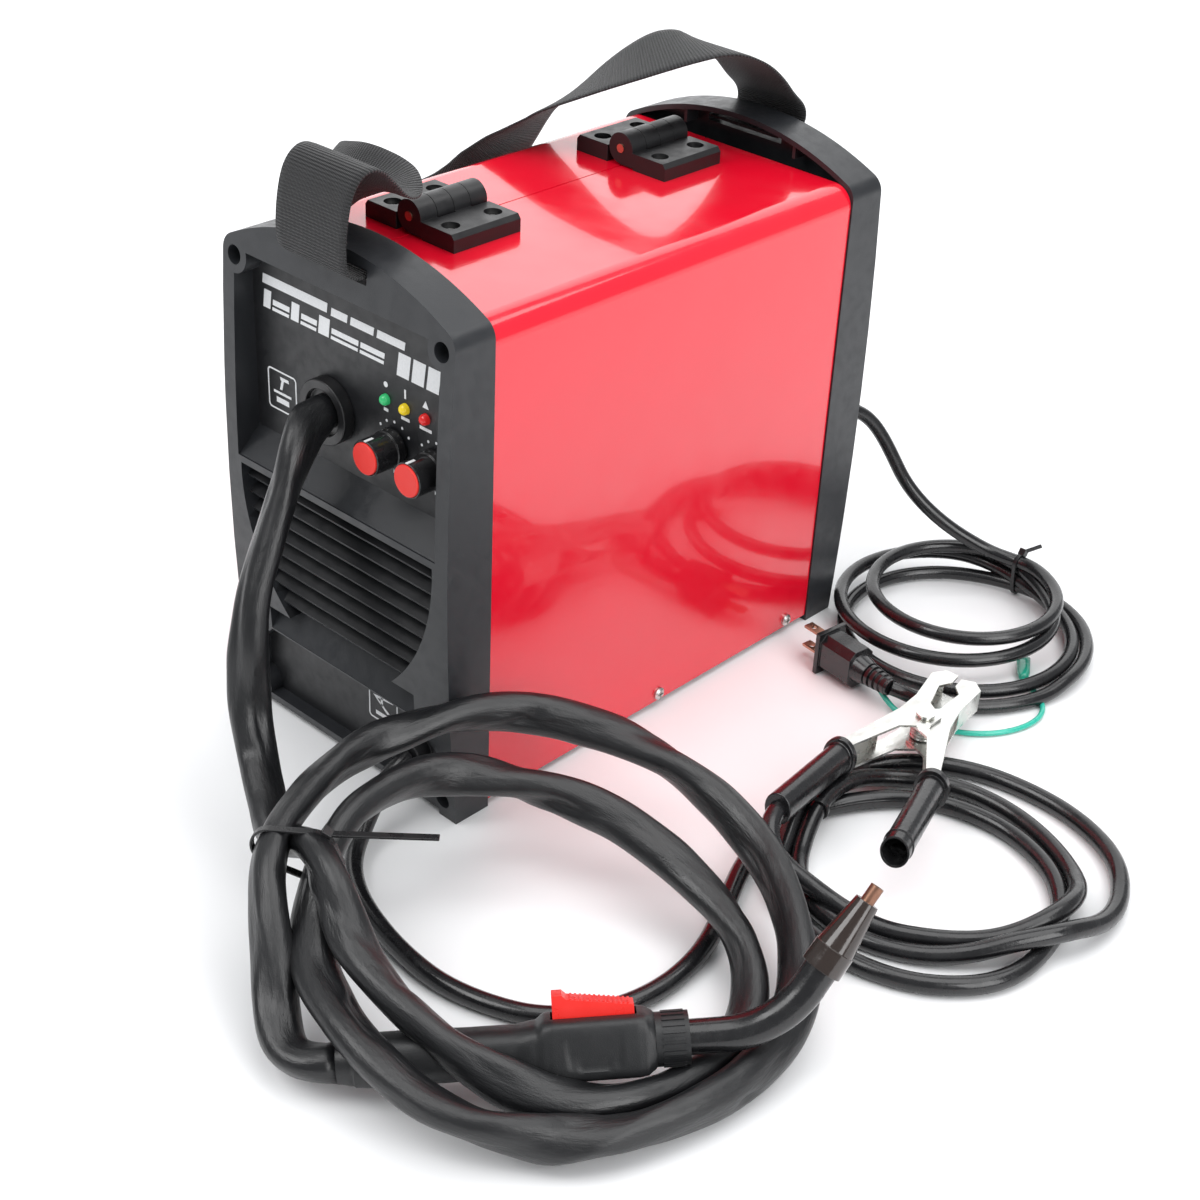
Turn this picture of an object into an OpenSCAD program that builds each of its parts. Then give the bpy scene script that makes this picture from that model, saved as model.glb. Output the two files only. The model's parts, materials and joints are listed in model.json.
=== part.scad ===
// Small wire-feed inverter welder with its torch, earth clamp and mains cord.
// Millimetres. Z is up, the origin is on the floor under the middle of the case,
// the control panel faces -Y and the wire compartment's door is on the -X side.

/* [Case] */
// Width over the bezels
body_w = 170; // [166:1:176]
// Height of the bezels at the peak of the arch
body_h = 297.5; // [296:0.5:300]
// Distance of each bezel's back edge from the middle
seam_y = 135; // [135:0.5:136]
// Depth of a bezel at its corners
bezel_depth = 23; // [22:0.5:25]
// Bow of a bezel's face over its height
bulge = 7; // [5:0.5:8]
// Height of the sharp shoulder before rounding
shoulder_z = 276; // [274:0.5:277]
// Shoulder rounding
fillet_r = 10; // [8:0.5:11]
// Bezel wall
bezel_wall = 3; // [2.5:0.1:3.2]
// Top of the red sheet
sheet_top = 278; // [277:0.5:279]
// Sheet steel thickness
sheet_t = 1.5; // [1.2:0.1:1.6]
// Sheet fold radius outside
fold_r = 12; // [11:0.5:13]

/* [Front panel] */
// Height of the two knobs
knob_z = 199; // [197:0.5:201]
// Voltage knob from the middle
voltage_x = 31; // [29:0.5:33]
// Wire speed knob from the middle
speed_x = 61; // [59:0.5:62]
// Knob radius
knob_r = 9.3; // [8.5:0.1:10]
// Height of the lamps
lamp_z = 222.5; // [221:0.5:226]
// Lamp radius
lamp_r = 2.9; // [2.5:0.1:3]
// Torch gland from the middle
torch_x = -16; // [-18:0.5:-14]
// Torch gland height
torch_z = 202; // [200:0.5:204]
// Number of louvre slats
louvre_n = 8; // [6:1:8]
// Louvre pitch
louvre_pitch = 9.6; // [9:0.1:9.7]

/* [Hinges] */
// Pin line from the middle
pin_x = -21.5; // [-22:0.1:-21]
// Pin height above the sheet
pin_up = 10; // [9.8:0.1:11]
// Hinge length
hinge_len = 46; // [44:0.5:48]
// Leaf thickness
leaf_t = 9.4; // [8.5:0.1:9.6]
// Barrel radius
barrel_r = 8.7; // [8.2:0.1:8.9]

/* [Wire feed] */
// Wire spool radius
spool_r = 50; // [46:1:51]
// Wire spool height
spool_z = 150; // [148:1:152]
// Wire spool behind the middle
spool_y = 62; // [60:1:64]

/* [Cords] */
// Torch lead radius
lead_r = 9.7; // [9:0.1:9.8]
// Earth lead radius
earth_r = 5; // [4.5:0.1:5]
// Mains cord radius
mains_r = 4.2; // [3.8:0.1:4.2]
// Bonding wire radius
bond_r = 1.6; // [1.3:0.1:1.6]

/* [Part] */
// Node to draw

/* [Hidden] */

eps = 0.01;
hw = body_w / 2;
// arch through both shoulders and the peak
rise = body_h - shoulder_z;
arch_r = (hw * hw + rise * rise) / (2 * rise);
arch_cz = body_h - arch_r;
fil_z = arch_cz + sqrt(pow(arch_r - fillet_r, 2) - pow(hw - fillet_r, 2));
// bowed face
corner_y = seam_y + bezel_depth;
face_y = corner_y + bulge;
bow_z = 150;
bow_r = (bow_z * bow_z + bulge * bulge) / (2 * bulge);
hollow = 12;
floor_y = corner_y - 8;
strap_x = -4;
screw_hi = 268.5;
screw_lo = 11.5;
screw_x_hi = hw - 9;
screw_x_lo = hw - 9.5;
// sheet shell
side_x = hw - 1;
end_y = seam_y - 0.3;
pin_z = sheet_top + pin_up;
hinge_ys = [-70, 85];
cover_screw_ys = [-115, 0, 115];
// rear face
fan_x = 40;
fan_z = 205;
cord_x = 56;
cord_z = 118;
switch_x = 14;
switch_z = 118;
rear_floor = corner_y + 1;
// wire feed
wall_x = -2;
drive_y = -75;
drive_z = 187;
drive_r = 14.6;
press_r = 10;
press_z = drive_z + drive_r + 0.8 + press_r;
arm_y = -98;
arm_z = 206;
bolt_y = -50;
bolt_z = 182;
bolt_x = -25;
// torch pose
torch_at = [282.3, -222.6, 28.5];
torch_yaw = 47;
torch_rise = 4.8;
torch_lean = 28;
handle_len = 132;
neck_x = 30;
neck_R = 50;
neck_bend = 52;
// clamp pose
clamp_at = [220, 66, 22.6];
clamp_yaw = 14.2;
clamp_tilt = -5.5;

black = [0.10, 0.10, 0.11];
grey = [0.20, 0.21, 0.22];
red = [0.85, 0.04, 0.06];
steel = [0.70, 0.71, 0.72];

// ---------- helpers ----------
module along_y(y0, y1) translate([0, y0, 0]) rotate([-90, 0, 0]) mirror([0, 1, 0])
  linear_extrude(height = y1 - y0) children();

module disc_y(x, z, r, y0, y1) translate([x, y0, z]) rotate([-90, 0, 0])
  cylinder(r = r, h = y1 - y0, $fn = 64);

module disc_x(y, z, r, x0, x1) translate([x0, y, z]) rotate([0, 90, 0])
  cylinder(r = r, h = x1 - x0, $fn = 64);

module block(x0, x1, y0, y1, z0, z1) translate([x0, y0, z0])
  cube([x1 - x0, y1 - y0, z1 - z0]);

// outline of the case seen from the front, inset by i
function arc(cx, cz, r, a0, a1, n) =
  [for (k = [0:n]) let (a = a0 + (a1 - a0) * k / n) [cx + r * cos(a), cz + r * sin(a)]];

module arch_2d(i) {
  turn = atan2(fil_z - arch_cz, hw - fillet_r);
  polygon(concat([[-hw + i, i], [hw - i, i]],
    arc(hw - fillet_r, fil_z, fillet_r - i, 0, turn, 8),
    arc(0, arch_cz, arch_r - i, turn + 1.2, 180 - turn - 1.2, 40),
    arc(-hw + fillet_r, fil_z, fillet_r - i, 180 - turn, 180, 8)));
}

// ---------- bezels ----------
module bezel_blank() {
  difference() {
    intersection() {
      along_y(-face_y - 5, -seam_y) arch_2d(0);
      translate([0, -face_y + bow_r, bow_z]) rotate([0, 90, 0])
        cylinder(h = body_w + 4, r = bow_r, center = true, $fn = 180);
    }
    difference() {
      along_y(-seam_y - hollow, -seam_y + 1) arch_2d(bezel_wall);
      for (s = [-1, 1]) {
        disc_y(s * screw_x_hi, screw_hi, 7, -corner_y, -seam_y);
        disc_y(s * screw_x_lo, screw_lo, 7, -corner_y, -seam_y);
        block(s * 40 - 1, s * 40 + 1, -corner_y, -seam_y - 2, sheet_top + 4, body_h);
      }
    }
    block(-hw + 13, hw - 13, -face_y - 5, -seam_y + 1, -1, 3.5);
    for (s = [-1, 1]) {
      disc_y(s * screw_x_hi, screw_hi, 2.5, -face_y, -seam_y + 1);
      disc_y(s * screw_x_lo, screw_lo, 2.5, -face_y, -seam_y + 1);
      disc_y(s * screw_x_hi, screw_hi, 5, -face_y - 1, -floor_y);
      disc_y(s * screw_x_lo, screw_lo, 5, -face_y - 1, -floor_y);
    }
    block(strap_x - 27, strap_x + 27, -face_y - 1, -seam_y - 2, 283.5, 291);
  }
}

// the louvre field: two big arcs meet a flat bottom
module louvre_2d(z0, z1, i) intersection() {
  translate([-hw, z0]) square([body_w, z1 - z0]);
  translate([-37, 150]) circle(r = 111 - i, $fn = 180);
  translate([37, 150]) circle(r = 111 - i, $fn = 180);
}

module front_bezel() color(grey) difference() {
  union() {
    difference() {
      bezel_blank();
      // control panel recess with its screw bosses
      difference() {
        block(-hw + 9, hw - 9, -face_y - 5, -floor_y, 172, 272);
        for (s = [-1, 1]) disc_y(s * screw_x_hi, screw_hi, 9.5, -face_y, -floor_y + 1);
      }
      // ledge under the panel
      translate([-hw + 9, 0, 0]) rotate([90, 0, 90]) linear_extrude(height = body_w - 18)
        polygon([[-floor_y, 171], [-floor_y, 175], [-face_y - 5, 175], [-face_y - 5, 158],
          [-face_y + 1, 158]]);
      // louvre field
      along_y(-face_y - 5, -corner_y + 5) louvre_2d(70, 154, 0);
      // ledge under the louvres
      translate([-58, 0, 0]) rotate([90, 0, 90]) linear_extrude(height = 116)
        polygon([[-corner_y + 5, 69.9], [-corner_y + 5, 71], [-face_y - 5, 71],
          [-face_y - 5, 57], [-face_y + 3, 57]]);
      // lower recess
      difference() {
        along_y(-face_y - 5, -floor_y - 1)
          polygon([[-58, 56], [58, 56], [hw - 10, 40], [hw - 10, 8], [-hw + 10, 8],
            [-hw + 10, 40]]);
        for (s = [-1, 1]) disc_y(s * screw_x_lo, screw_lo, 9.5, -face_y, -floor_y + 1);
      }
      // air slots behind the slats
      for (i = [0:louvre_n - 1])
        along_y(-corner_y + 4, -seam_y) intersection() {
          louvre_2d(70, 154, 14);
          translate([-hw, 148.5 - louvre_pitch * i - 8]) square([body_w, 4.5]);
        }
    }
    // slats
    intersection() {
      along_y(-face_y, -corner_y + 6) louvre_2d(70, 154, -1);
      for (i = [0:louvre_n - 1]) translate([0, -corner_y + 5, 150 - louvre_pitch * i])
        rotate([28, 0, 0]) block(-hw, hw, -9, 3, -2.2, 0);
    }
  }
  disc_y(torch_x, torch_z, 12, -face_y, -seam_y);
  disc_y(57, 33.6, 8, -face_y, -seam_y);
  for (x = [voltage_x, speed_x]) disc_y(x, knob_z, 4, -face_y, -seam_y);
  for (x = [25, 39, 53.5]) disc_y(x, lamp_z, 3.05, -face_y, -seam_y);
}

module rear_bezel() color(grey) difference() {
  mirror([0, 1, 0]) bezel_blank();
  // shallow rear panel
  difference() {
    block(-hw + 9, hw - 9, rear_floor, face_y + 5, 30, 272);
    for (s = [-1, 1]) disc_y(s * screw_x_hi, screw_hi, 9.5, rear_floor - 1, face_y);
  }
  // fan grille
  for (r = [9, 17, 25, 33]) difference() {
    disc_y(fan_x, fan_z, r + 2.5, seam_y, face_y);
    disc_y(fan_x, fan_z, r - 2.5, seam_y - 1, face_y + 1);
    for (a = [45, 135]) translate([fan_x, seam_y, fan_z]) rotate([0, a, 0])
      translate([-50, -2, -1.6]) cube([100, 60, 3.2]);
  }
  // side air slots
  for (i = [0:6]) block(-66, -18, seam_y, face_y, 170 + 12 * i, 175 + 12 * i);
  disc_y(cord_x, cord_z, 8, seam_y, face_y);
  block(switch_x - 10, switch_x + 10, seam_y, face_y, switch_z - 14.5, switch_z + 14.5);
}

// ---------- chassis ----------
module end_plate_2d() difference() {
  polygon([[-hw + 3.5, 2.5], [hw - 3.5, 2.5], [hw - 3.5, 268], [hw - 7.5, 272],
    [-hw + 7.5, 272], [-hw + 3.5, 268]]);
  for (s = [-1, 1]) {
    translate([s * screw_x_hi, screw_hi]) circle(r = 2, $fn = 32);
    translate([s * screw_x_lo, screw_lo]) circle(r = 2, $fn = 32);
  }
}

module base_chassis() color(steel) {
  difference() {
    union() {
      block(-hw + 3.5, hw - 3.5, -134, 134, 2.5, 4);
      // end plates
      difference() {
        along_y(-134, -132.8) end_plate_2d();
        disc_y(torch_x, torch_z, 13, -140, -130);
        disc_y(57, 33.6, 9, -140, -130);
        block(14, 74, -140, -130, 185, 236);
        block(3, 70, -140, -130, 74, 152);
      }
      difference() {
        along_y(132.8, 134) end_plate_2d();
        disc_y(fan_x, fan_z, 37.5, 130, 140);
        disc_y(cord_x, cord_z, 9, 130, 140);
        block(switch_x - 11, switch_x + 11, 130, 140, switch_z - 15.5, switch_z + 15.5);
        for (i = [0:2]) block(-66, -18, 130, 140, 172 + 26 * i, 188 + 26 * i);
      }
      // side flanges
      for (s = [-1, 1]) difference() {
        block(s * (hw - 3.6) - 0.6, s * (hw - 3.6) + 0.6, -122, 122, 3, 18);
        for (y = cover_screw_ys) disc_x(y, 9, 2, s * hw - 10, s * hw + 10);
      }
      // wall between the wire side and the power side
      difference() {
        block(wall_x, wall_x + 1.2, -133, 133, 3, 270);
        disc_x(drive_y, drive_z, 8, -10, 10);
        block(-10, 10, 60, 100, 20, 60);
      }
    }
    for (x = [-66, 66]) for (y = [-112, 112]) translate([x, y, 1])
      cylinder(r = 8, h = 5, $fn = 48);
  }
}

module rubber_feet() color(black) for (x = [-66, 66]) for (y = [-112, 112])
  translate([x, y, 0]) {
    cylinder(r = 7.8, h = 4, $fn = 48);
    translate([0, 0, 4]) cylinder(r = 11, h = 2.5, $fn = 48);
  }

// ---------- red sheet ----------
module fold_2d(x0) {
  translate([x0, sheet_top - sheet_t]) square([side_x - fold_r - x0, sheet_t]);
  translate([side_x - sheet_t, 4]) square([sheet_t, sheet_top - fold_r - 4]);
  intersection() {
    translate([side_x - fold_r, sheet_top - fold_r]) difference() {
      circle(r = fold_r, $fn = 64);
      circle(r = fold_r - sheet_t, $fn = 64);
    }
    translate([side_x - fold_r, sheet_top - fold_r]) square([fold_r + 1, fold_r + 1]);
  }
}

module side_cover() color(red) difference() {
  union() {
    along_y(-end_y, end_y) fold_2d(pin_x);
    along_y(-132.3, 132.3) translate([pin_x, sheet_top - 9]) square([1.5, 9]);
  }
  for (y = cover_screw_ys) disc_x(y, 9, 2.15, side_x - 5, side_x + 5);
  for (yc = hinge_ys) for (s = [-1, 1]) translate([pin_x + 21.5, yc + s * 14.5, 200])
    cylinder(r = 2.15, h = 100, $fn = 32);
}

module wire_door() color(red) difference() {
  mirror([1, 0, 0]) {
    along_y(-end_y, end_y) fold_2d(-pin_x + 0.8);
    along_y(-132.3, 132.3) translate([-pin_x + 0.8, sheet_top - 9]) square([1.5, 9]);
  }
  for (yc = hinge_ys) for (s = [-1, 1]) translate([pin_x - 21.5, yc + s * 14.5, 200])
    cylinder(r = 2.15, h = 100, $fn = 32);
  disc_x(0, 32, 7.1, -hw - 5, -hw + 10);
}

// turned upright: the cam lies level, clear of the chassis flange
module door_latch() color(black) {
  disc_x(0, 32, 7, -side_x, -side_x + 3.5);
  difference() {
    disc_x(0, 32, 14, -side_x - 3, -side_x);
    for (s = [-1, 1]) block(-hw - 6, -side_x - 1, s * 8 - 4, s * 8 + 4, 10, 60);
  }
  block(-side_x + 3.5, -side_x + 5.5, -6, 24, 26, 38);
}

// ---------- hinges ----------
// side 1 is the fixed leaf, -1 the door's
module leaf(side, yc) translate([pin_x, yc, 0]) mirror([side < 0 ? 1 : 0, 0, 0]) {
  pitch = hinge_len / 4;
  first = side > 0 ? 0 : 1;
  difference() {
    union() {
      along_y(-hinge_len / 2, hinge_len / 2)
        polygon([[barrel_r + 0.9, sheet_top], [33, sheet_top], [33, sheet_top + leaf_t - 2.5],
          [31, sheet_top + leaf_t], [barrel_r + 0.9, sheet_top + leaf_t]]);
      for (k = [first, first + 2]) {
        y0 = -hinge_len / 2 + pitch * k;
        disc_y(0, pin_z, barrel_r, y0 + 0.15, y0 + pitch - 0.15);
        block(0, barrel_r + 1, y0 + 0.15, y0 + pitch - 0.15, sheet_top + 1, sheet_top + leaf_t);
      }
    }
    disc_y(0, pin_z, side > 0 ? 2.5 : 2.56, -50, 50);
    for (s = [-1, 1]) translate([21.5, s * 14.5, sheet_top]) {
      translate([0, 0, -1]) cylinder(r = 2.15, h = 20, $fn = 32);
      translate([0, 0, 4.4]) cylinder(r = 4.8, h = 20, $fn = 48);
    }
  }
}

module hinge_fixed_leaves() color(black) for (yc = hinge_ys) leaf(1, yc);

module hinge_door_leaves() color(black) for (yc = hinge_ys) leaf(-1, yc);

module hinge_pins() color([0.7, 0.4, 0.28]) for (yc = hinge_ys)
  disc_y(pin_x, pin_z, 2.5, yc - hinge_len / 2 - 0.4, yc + hinge_len / 2 + 0.4);

// a pan head at z 0 with a cross recess and its shank going down
module pan_screw(head_r, shank_r, long) difference() {
  union() {
    translate([0, 0, -long]) cylinder(r = shank_r, h = long, $fn = 32);
    cylinder(r = head_r, h = 1.4, $fn = 48);
    translate([0, 0, 1.4]) cylinder(r1 = head_r, r2 = head_r - 1.2, h = 1, $fn = 48);
  }
  for (a = [0, 90]) rotate([0, 0, a]) translate([-2.2, -0.45, 1]) cube([4.4, 0.9, 3]);
}

module hinge_screws(x) color(steel) for (yc = hinge_ys) for (s = [-1, 1])
  translate([x, yc + s * 14.5, sheet_top + 4.4]) pan_screw(3.8, 2, 9);

module hinge_fixed_screws() hinge_screws(pin_x + 21.5);

module hinge_door_screws() hinge_screws(pin_x - 21.5);

module panel_screws() color(steel) {
  for (y = cover_screw_ys) translate([side_x, y, 9]) rotate([0, 90, 0]) pan_screw(3.7, 2, 8);
  for (f = [0, 1]) mirror([0, f, 0]) for (s = [-1, 1]) {
    translate([s * screw_x_hi, -floor_y, screw_hi]) rotate([90, 0, 0]) pan_screw(3.7, 2, 20);
    translate([s * screw_x_lo, -floor_y, screw_lo]) rotate([90, 0, 0]) pan_screw(3.7, 2, 20);
  }
}

// ---------- strap ----------
// each row: centre of the webbing, then the direction of its width
strap_path = [
  [-4, -146, 287, 1, 0, 0], [-4, -167, 287.5, 1, 0, 0], [-4, -170, 300, 1, 0, 0],
  [-4, -168, 318, 1, 0, 0], [-4, -163, 332, 1, 0, 0], [-4, -153, 338, 1, 0, 0],
  [-5, -142, 332, 1, 0, 0], [-8, -133, 320, 0.98, 0.05, 0.15],
  [-15, -123, 310, 0.9, 0.2, 0.35], [-27, -113, 304, 0.65, 0.5, 0.5],
  [-44, -109, 300, 0.35, 0.65, 0.62], [-66, -109, 298, 0.1, 0.75, 0.62],
  [-86, -102, 290, -0.1, 0.8, 0.55], [-98, -88, 270, 0.1, 0.75, 0.6],
  [-100, -68, 254, 0.1, 0.4, 0.9], [-97, -45, 245, 0.05, 0, 1], [-95, -20, 243, 0, 0, 1],
  [-95, 5, 247, 0, -0.3, 0.95], [-96, 26, 258, 0.1, -0.6, 0.8],
  [-90, 42, 275, 0.3, -0.75, 0.6], [-76, 54, 295, 0.6, -0.7, 0.4],
  [-56, 66, 312, 0.75, -0.6, 0.25], [-38, 80, 326, 0.87, -0.47, 0.1],
  [-22, 96, 336, 0.95, -0.3, 0], [-10, 114, 338, 1, 0, 0], [-5, 132, 331, 1, 0, 0],
  [-4, 147, 320, 1, 0, 0], [-4, 158, 309, 1, 0, 0], [-4, 168, 301, 1, 0, 0],
  [-4, 171, 293, 1, 0, 0], [-4, 167, 287.5, 1, 0, 0], [-4, 146, 287, 1, 0, 0]
];

function unit(v) = v / norm(v);
function at(p, i) = [p[i][0], p[i][1], p[i][2]];
function run(p, i) = unit(at(p, min(i + 1, len(p) - 1)) - at(p, max(i - 1, 0)));

module ribbon(p, w, t) {
  n = len(p);
  pts = [for (i = [0:n - 1])
    let (d = run(p, i), v = [p[i][3], p[i][4], p[i][5]],
      a = unit(v - (v * d) * d), b = cross(d, a))
    for (k = [[1, 1], [-1, 1], [-1, -1], [1, -1]])
      at(p, i) + a * w / 2 * k[0] + b * t / 2 * k[1]];
  faces = concat([[0, 1, 2, 3]],
    [for (i = [0:n - 2]) for (k = [0:3]) [4 * i + k, 4 * i + 4 + k, 4 * i + 4 + (k + 1) % 4]],
    [for (i = [0:n - 2]) for (k = [0:3])
      [4 * i + k, 4 * i + 4 + (k + 1) % 4, 4 * i + (k + 1) % 4]],
    [[4 * n - 1, 4 * n - 2, 4 * n - 3, 4 * n - 4]]);
  polyhedron(points = pts, faces = faces, convexity = 10);
}

module carry_strap() color(black) ribbon(strap_path, 50, 2);

// ---------- front fittings ----------
module knob(x) color(black) difference() {
  union() {
    disc_y(x, knob_z, knob_r, -floor_y - 19, -floor_y - 3);
    disc_y(x, knob_z, knob_r + 0.8, -floor_y - 6, -floor_y - 1);
  }
  disc_y(x, knob_z, 3.05, -floor_y - 15, -floor_y);
  disc_y(x, knob_z, knob_r - 1, -floor_y - 20, -floor_y - 18);
}

module knob_cap(x) color(red) {
  disc_y(x, knob_z, knob_r - 1, -floor_y - 20, -floor_y - 18);
}

module voltage_knob() knob(voltage_x);

module voltage_knob_cap() knob_cap(voltage_x);

module speed_knob() knob(speed_x);

module speed_knob_cap() knob_cap(speed_x);

module status_lamps() color([0.5, 0.8, 0.5]) for (x = [25, 39, 53.5]) {
  disc_y(x, lamp_z, lamp_r, -floor_y - 1, -seam_y - 6);
  translate([x, -floor_y - 1, lamp_z]) sphere(r = lamp_r, $fn = 48);
}

module control_board() color([0.1, 0.35, 0.2]) {
  difference() {
    block(16, 73, -seam_y - 6, -seam_y - 4.4, 187, 233);
  }
  for (x = [voltage_x, speed_x]) {
    disc_y(x, knob_z, 8, -seam_y - 12, -seam_y - 6);
    disc_y(x, knob_z, 3, -floor_y - 14, -seam_y - 12);
  }
}

module torch_gland() color(black) {
  difference() {
    disc_y(torch_x, torch_z, 17.5, -floor_y - 7, -floor_y);
    disc_y(torch_x, torch_z, 12.5, -floor_y - 8, -floor_y - 4);
  }
  disc_y(torch_x, torch_z, 11.8, -floor_y, -seam_y - 1);
  disc_y(torch_x, torch_z, 16, -seam_y - 11.8, -seam_y - 7);
}

module earth_gland() color(black) {
  disc_y(57, 33.6, 11, -floor_y - 7, -floor_y - 1);
  disc_y(57, 33.6, 8.2, -floor_y - 16, -floor_y - 7);
  disc_y(57, 33.6, 7.8, -floor_y - 1, -seam_y);
}

// ---------- rear fittings ----------
module fan_frame() color(black) difference() {
  union() {
    difference() {
      block(fan_x - 39.5, fan_x + 39.5, 107.5, 132.5, fan_z - 39.5, fan_z + 39.5);
      disc_y(fan_x, fan_z, 37.5, 100, 140);
    }
    disc_y(fan_x, fan_z, 17, 129, 132.5);
    for (a = [0, 120, 240]) translate([fan_x, 130, fan_z]) rotate([0, a, 0])
      block(15, 38, -0.5, 2, -2, 2);
  }
  disc_y(fan_x, fan_z, 1.55, 125, 140);
}

module fan_rotor() color(black) {
  disc_y(fan_x, fan_z, 16, 109, 128);
  disc_y(fan_x, fan_z, 1.5, 128, 132.4);
  for (k = [0:6]) translate([fan_x, 118, fan_z]) rotate([0, k * 360 / 7, 0])
    translate([15, 0, 0]) rotate([38, 0, 0]) block(0, 20.5, -9, 9, -0.8, 0.8);
}

module cord_gland() color(black) {
  disc_y(cord_x, cord_z, 10, rear_floor, rear_floor + 5);
  disc_y(cord_x, cord_z, 7.8, seam_y + 1, rear_floor);
  translate([cord_x, rear_floor + 5, cord_z]) rotate([-90, 0, 0])
    cylinder(r1 = 7.5, r2 = 5.2, h = 20, $fn = 48);
}

module switch_body() color(black) difference() {
  union() {
    block(switch_x - 9.7, switch_x + 9.7, seam_y + 1, rear_floor, switch_z - 14.2, switch_z + 14.2);
    block(switch_x - 12, switch_x + 12, rear_floor, rear_floor + 2, switch_z - 16.5,
      switch_z + 16.5);
  }
  block(switch_x - 7.6, switch_x + 7.6, rear_floor - 10, rear_floor + 3, switch_z - 12.6,
    switch_z + 12.6);
  disc_x(rear_floor - 2, switch_z, 1.86, switch_x - 9, switch_x + 9);
}

module switch_rocker() color(black) translate([switch_x, rear_floor - 2, switch_z])
  rotate([8, 0, 0]) {
    rotate([90, 0, 90]) translate([0, 0, -7.3]) linear_extrude(height = 14.6)
      polygon([[-5, -9], [-5, 9], [5.5, 11], [3, 0], [5.5, -11]]);
    rotate([0, 90, 0]) cylinder(r = 1.8, h = 17.4, center = true, $fn = 32);
  }

// ---------- wire feed ----------
module spool_hub() color(black) {
  disc_x(spool_y, spool_z, 26, wall_x - 4, wall_x);
  disc_x(spool_y, spool_z, 8, -71, wall_x - 4);
}

module spool_nut() color(black) difference() {
  union() {
    disc_x(spool_y, spool_z, 14, -64, -58);
    block(-70, -64, spool_y - 15, spool_y + 15, spool_z - 4, spool_z + 4);
    disc_x(spool_y, spool_z, 11, -70, -64);
  }
  disc_x(spool_y, spool_z, 8.06, -72, -50);
}

module wire_spool() color([0.16, 0.16, 0.17]) difference() {
  union() {
    for (x = [-56, -13]) disc_x(spool_y, spool_z, spool_r, x, x + 2.5);
    disc_x(spool_y, spool_z, 28, -56, -10.5);
  }
  disc_x(spool_y, spool_z, 8.06, -60, 0);
  for (k = [0:5]) translate([0, spool_y, spool_z]) rotate([k * 60, 0, 0])
    disc_x(0, 18, 5, -60, 0);
}

module wire_winding() color([0.75, 0.5, 0.3]) difference() {
  disc_x(spool_y, spool_z, spool_r - 7, -53.5, -13);
  disc_x(spool_y, spool_z, 28, -60, 0);
}

module feed_motor() color(steel) difference() {
  union() {
    disc_x(drive_y, drive_z, 18, wall_x + 1.2, 28);
    disc_x(drive_y, drive_z, 16, 28, 66);
    disc_x(drive_y, drive_z, 5, 66, 69);
  }
  disc_x(drive_y, drive_z, 4.05, -5, 22);
}

module drive_roll() color(steel) {
  difference() {
    disc_x(drive_y, drive_z, drive_r, -21, -11);
    for (x = [-18, -14]) translate([x, drive_y, drive_z]) rotate([0, 90, 0])
      rotate_extrude($fn = 96) translate([drive_r + 0.1, 0]) circle(r = 0.5, $fn = 4);
  }
  disc_x(drive_y, drive_z, 4, -11, 21);
  disc_x(drive_y, drive_z, 7, -25, -21);
}

module feeder_block() color(black) {
  difference() {
    union() {
      block(-8, wall_x, -112, -34, 164, 240);
      block(-21, -8, -112, -104, 194, 210);
      block(-21, -8, -48, -34, 196, 208);
      block(-21, -8, -56, -44, 176, 188);
    }
    disc_x(drive_y, drive_z, 8, -20, 5);
    disc_y(-16, 202, 1, -120, -20);
  }
  disc_y(-16, 202, 4.5, -135.5, -112);
  disc_x(arm_y, arm_z, 3, -29, -8);
  disc_x(bolt_y, bolt_z, 2, -29, -21);
}

module pressure_arm() color(black) {
  difference() {
    translate([-27.5, 0, 0]) rotate([90, 0, 90]) linear_extrude(height = 5)
      polygon([[arm_y - 7, 199], [arm_y - 7, 213], [-84, 222], [-58, 226], [-58, 217],
        [-66, 205], [-86, 205], [arm_y + 6, 199]]);
    disc_x(arm_y, arm_z, 3.05, -40, 0);
  }
  disc_x(drive_y, press_z, 3, -22.5, -11.5);
  difference() {
    block(-31, -19, -60, -46, 217, 226);
    block(bolt_x - 3, bolt_x + 3, -53, -40, 210, 230);
  }
}

module pressure_roll() color(steel) difference() {
  disc_x(drive_y, press_z, press_r, -21.5, -12.5);
  disc_x(drive_y, press_z, 3.05, -30, 0);
}

module tension_bolt() color(black) {
  difference() {
    union() {
      disc_x(bolt_y, bolt_z, 5, bolt_x - 3, bolt_x + 3);
      translate([bolt_x, bolt_y, bolt_z]) cylinder(r = 2.4, h = 68, $fn = 32);
    }
    disc_x(bolt_y, bolt_z, 2.05, -40, 0);
  }
  translate([bolt_x, bolt_y, 226.1]) cylinder(r = 4.5, h = 6, $fn = 32);
  translate([bolt_x, bolt_y, 232.1]) cylinder(r1 = 7, r2 = 9, h = 20, $fn = 24);
}

// ---------- power side ----------
module heatsink() color(steel) {
  block(8, 74, -40, 60, 10, 16);
  for (i = [0:8]) block(8 + 7.9 * i, 10 + 7.9 * i, -40, 60, 16, 56);
}

module main_board() color([0.1, 0.35, 0.2]) {
  block(4, 76, -110, 95, 58, 59.8);
  for (y = [-85, -58, -31]) translate([22, y, 59.8]) cylinder(r = 11, h = 36, $fn = 48);
  block(40, 72, -90, -50, 59.8, 92);
  block(10, 60, 10, 50, 59.8, 84);
}

// ---------- torch ----------
module torch_pose() translate(torch_at) rotate([0, -torch_rise, torch_yaw])
  rotate([-torch_lean, 0, 0]) children();

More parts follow.
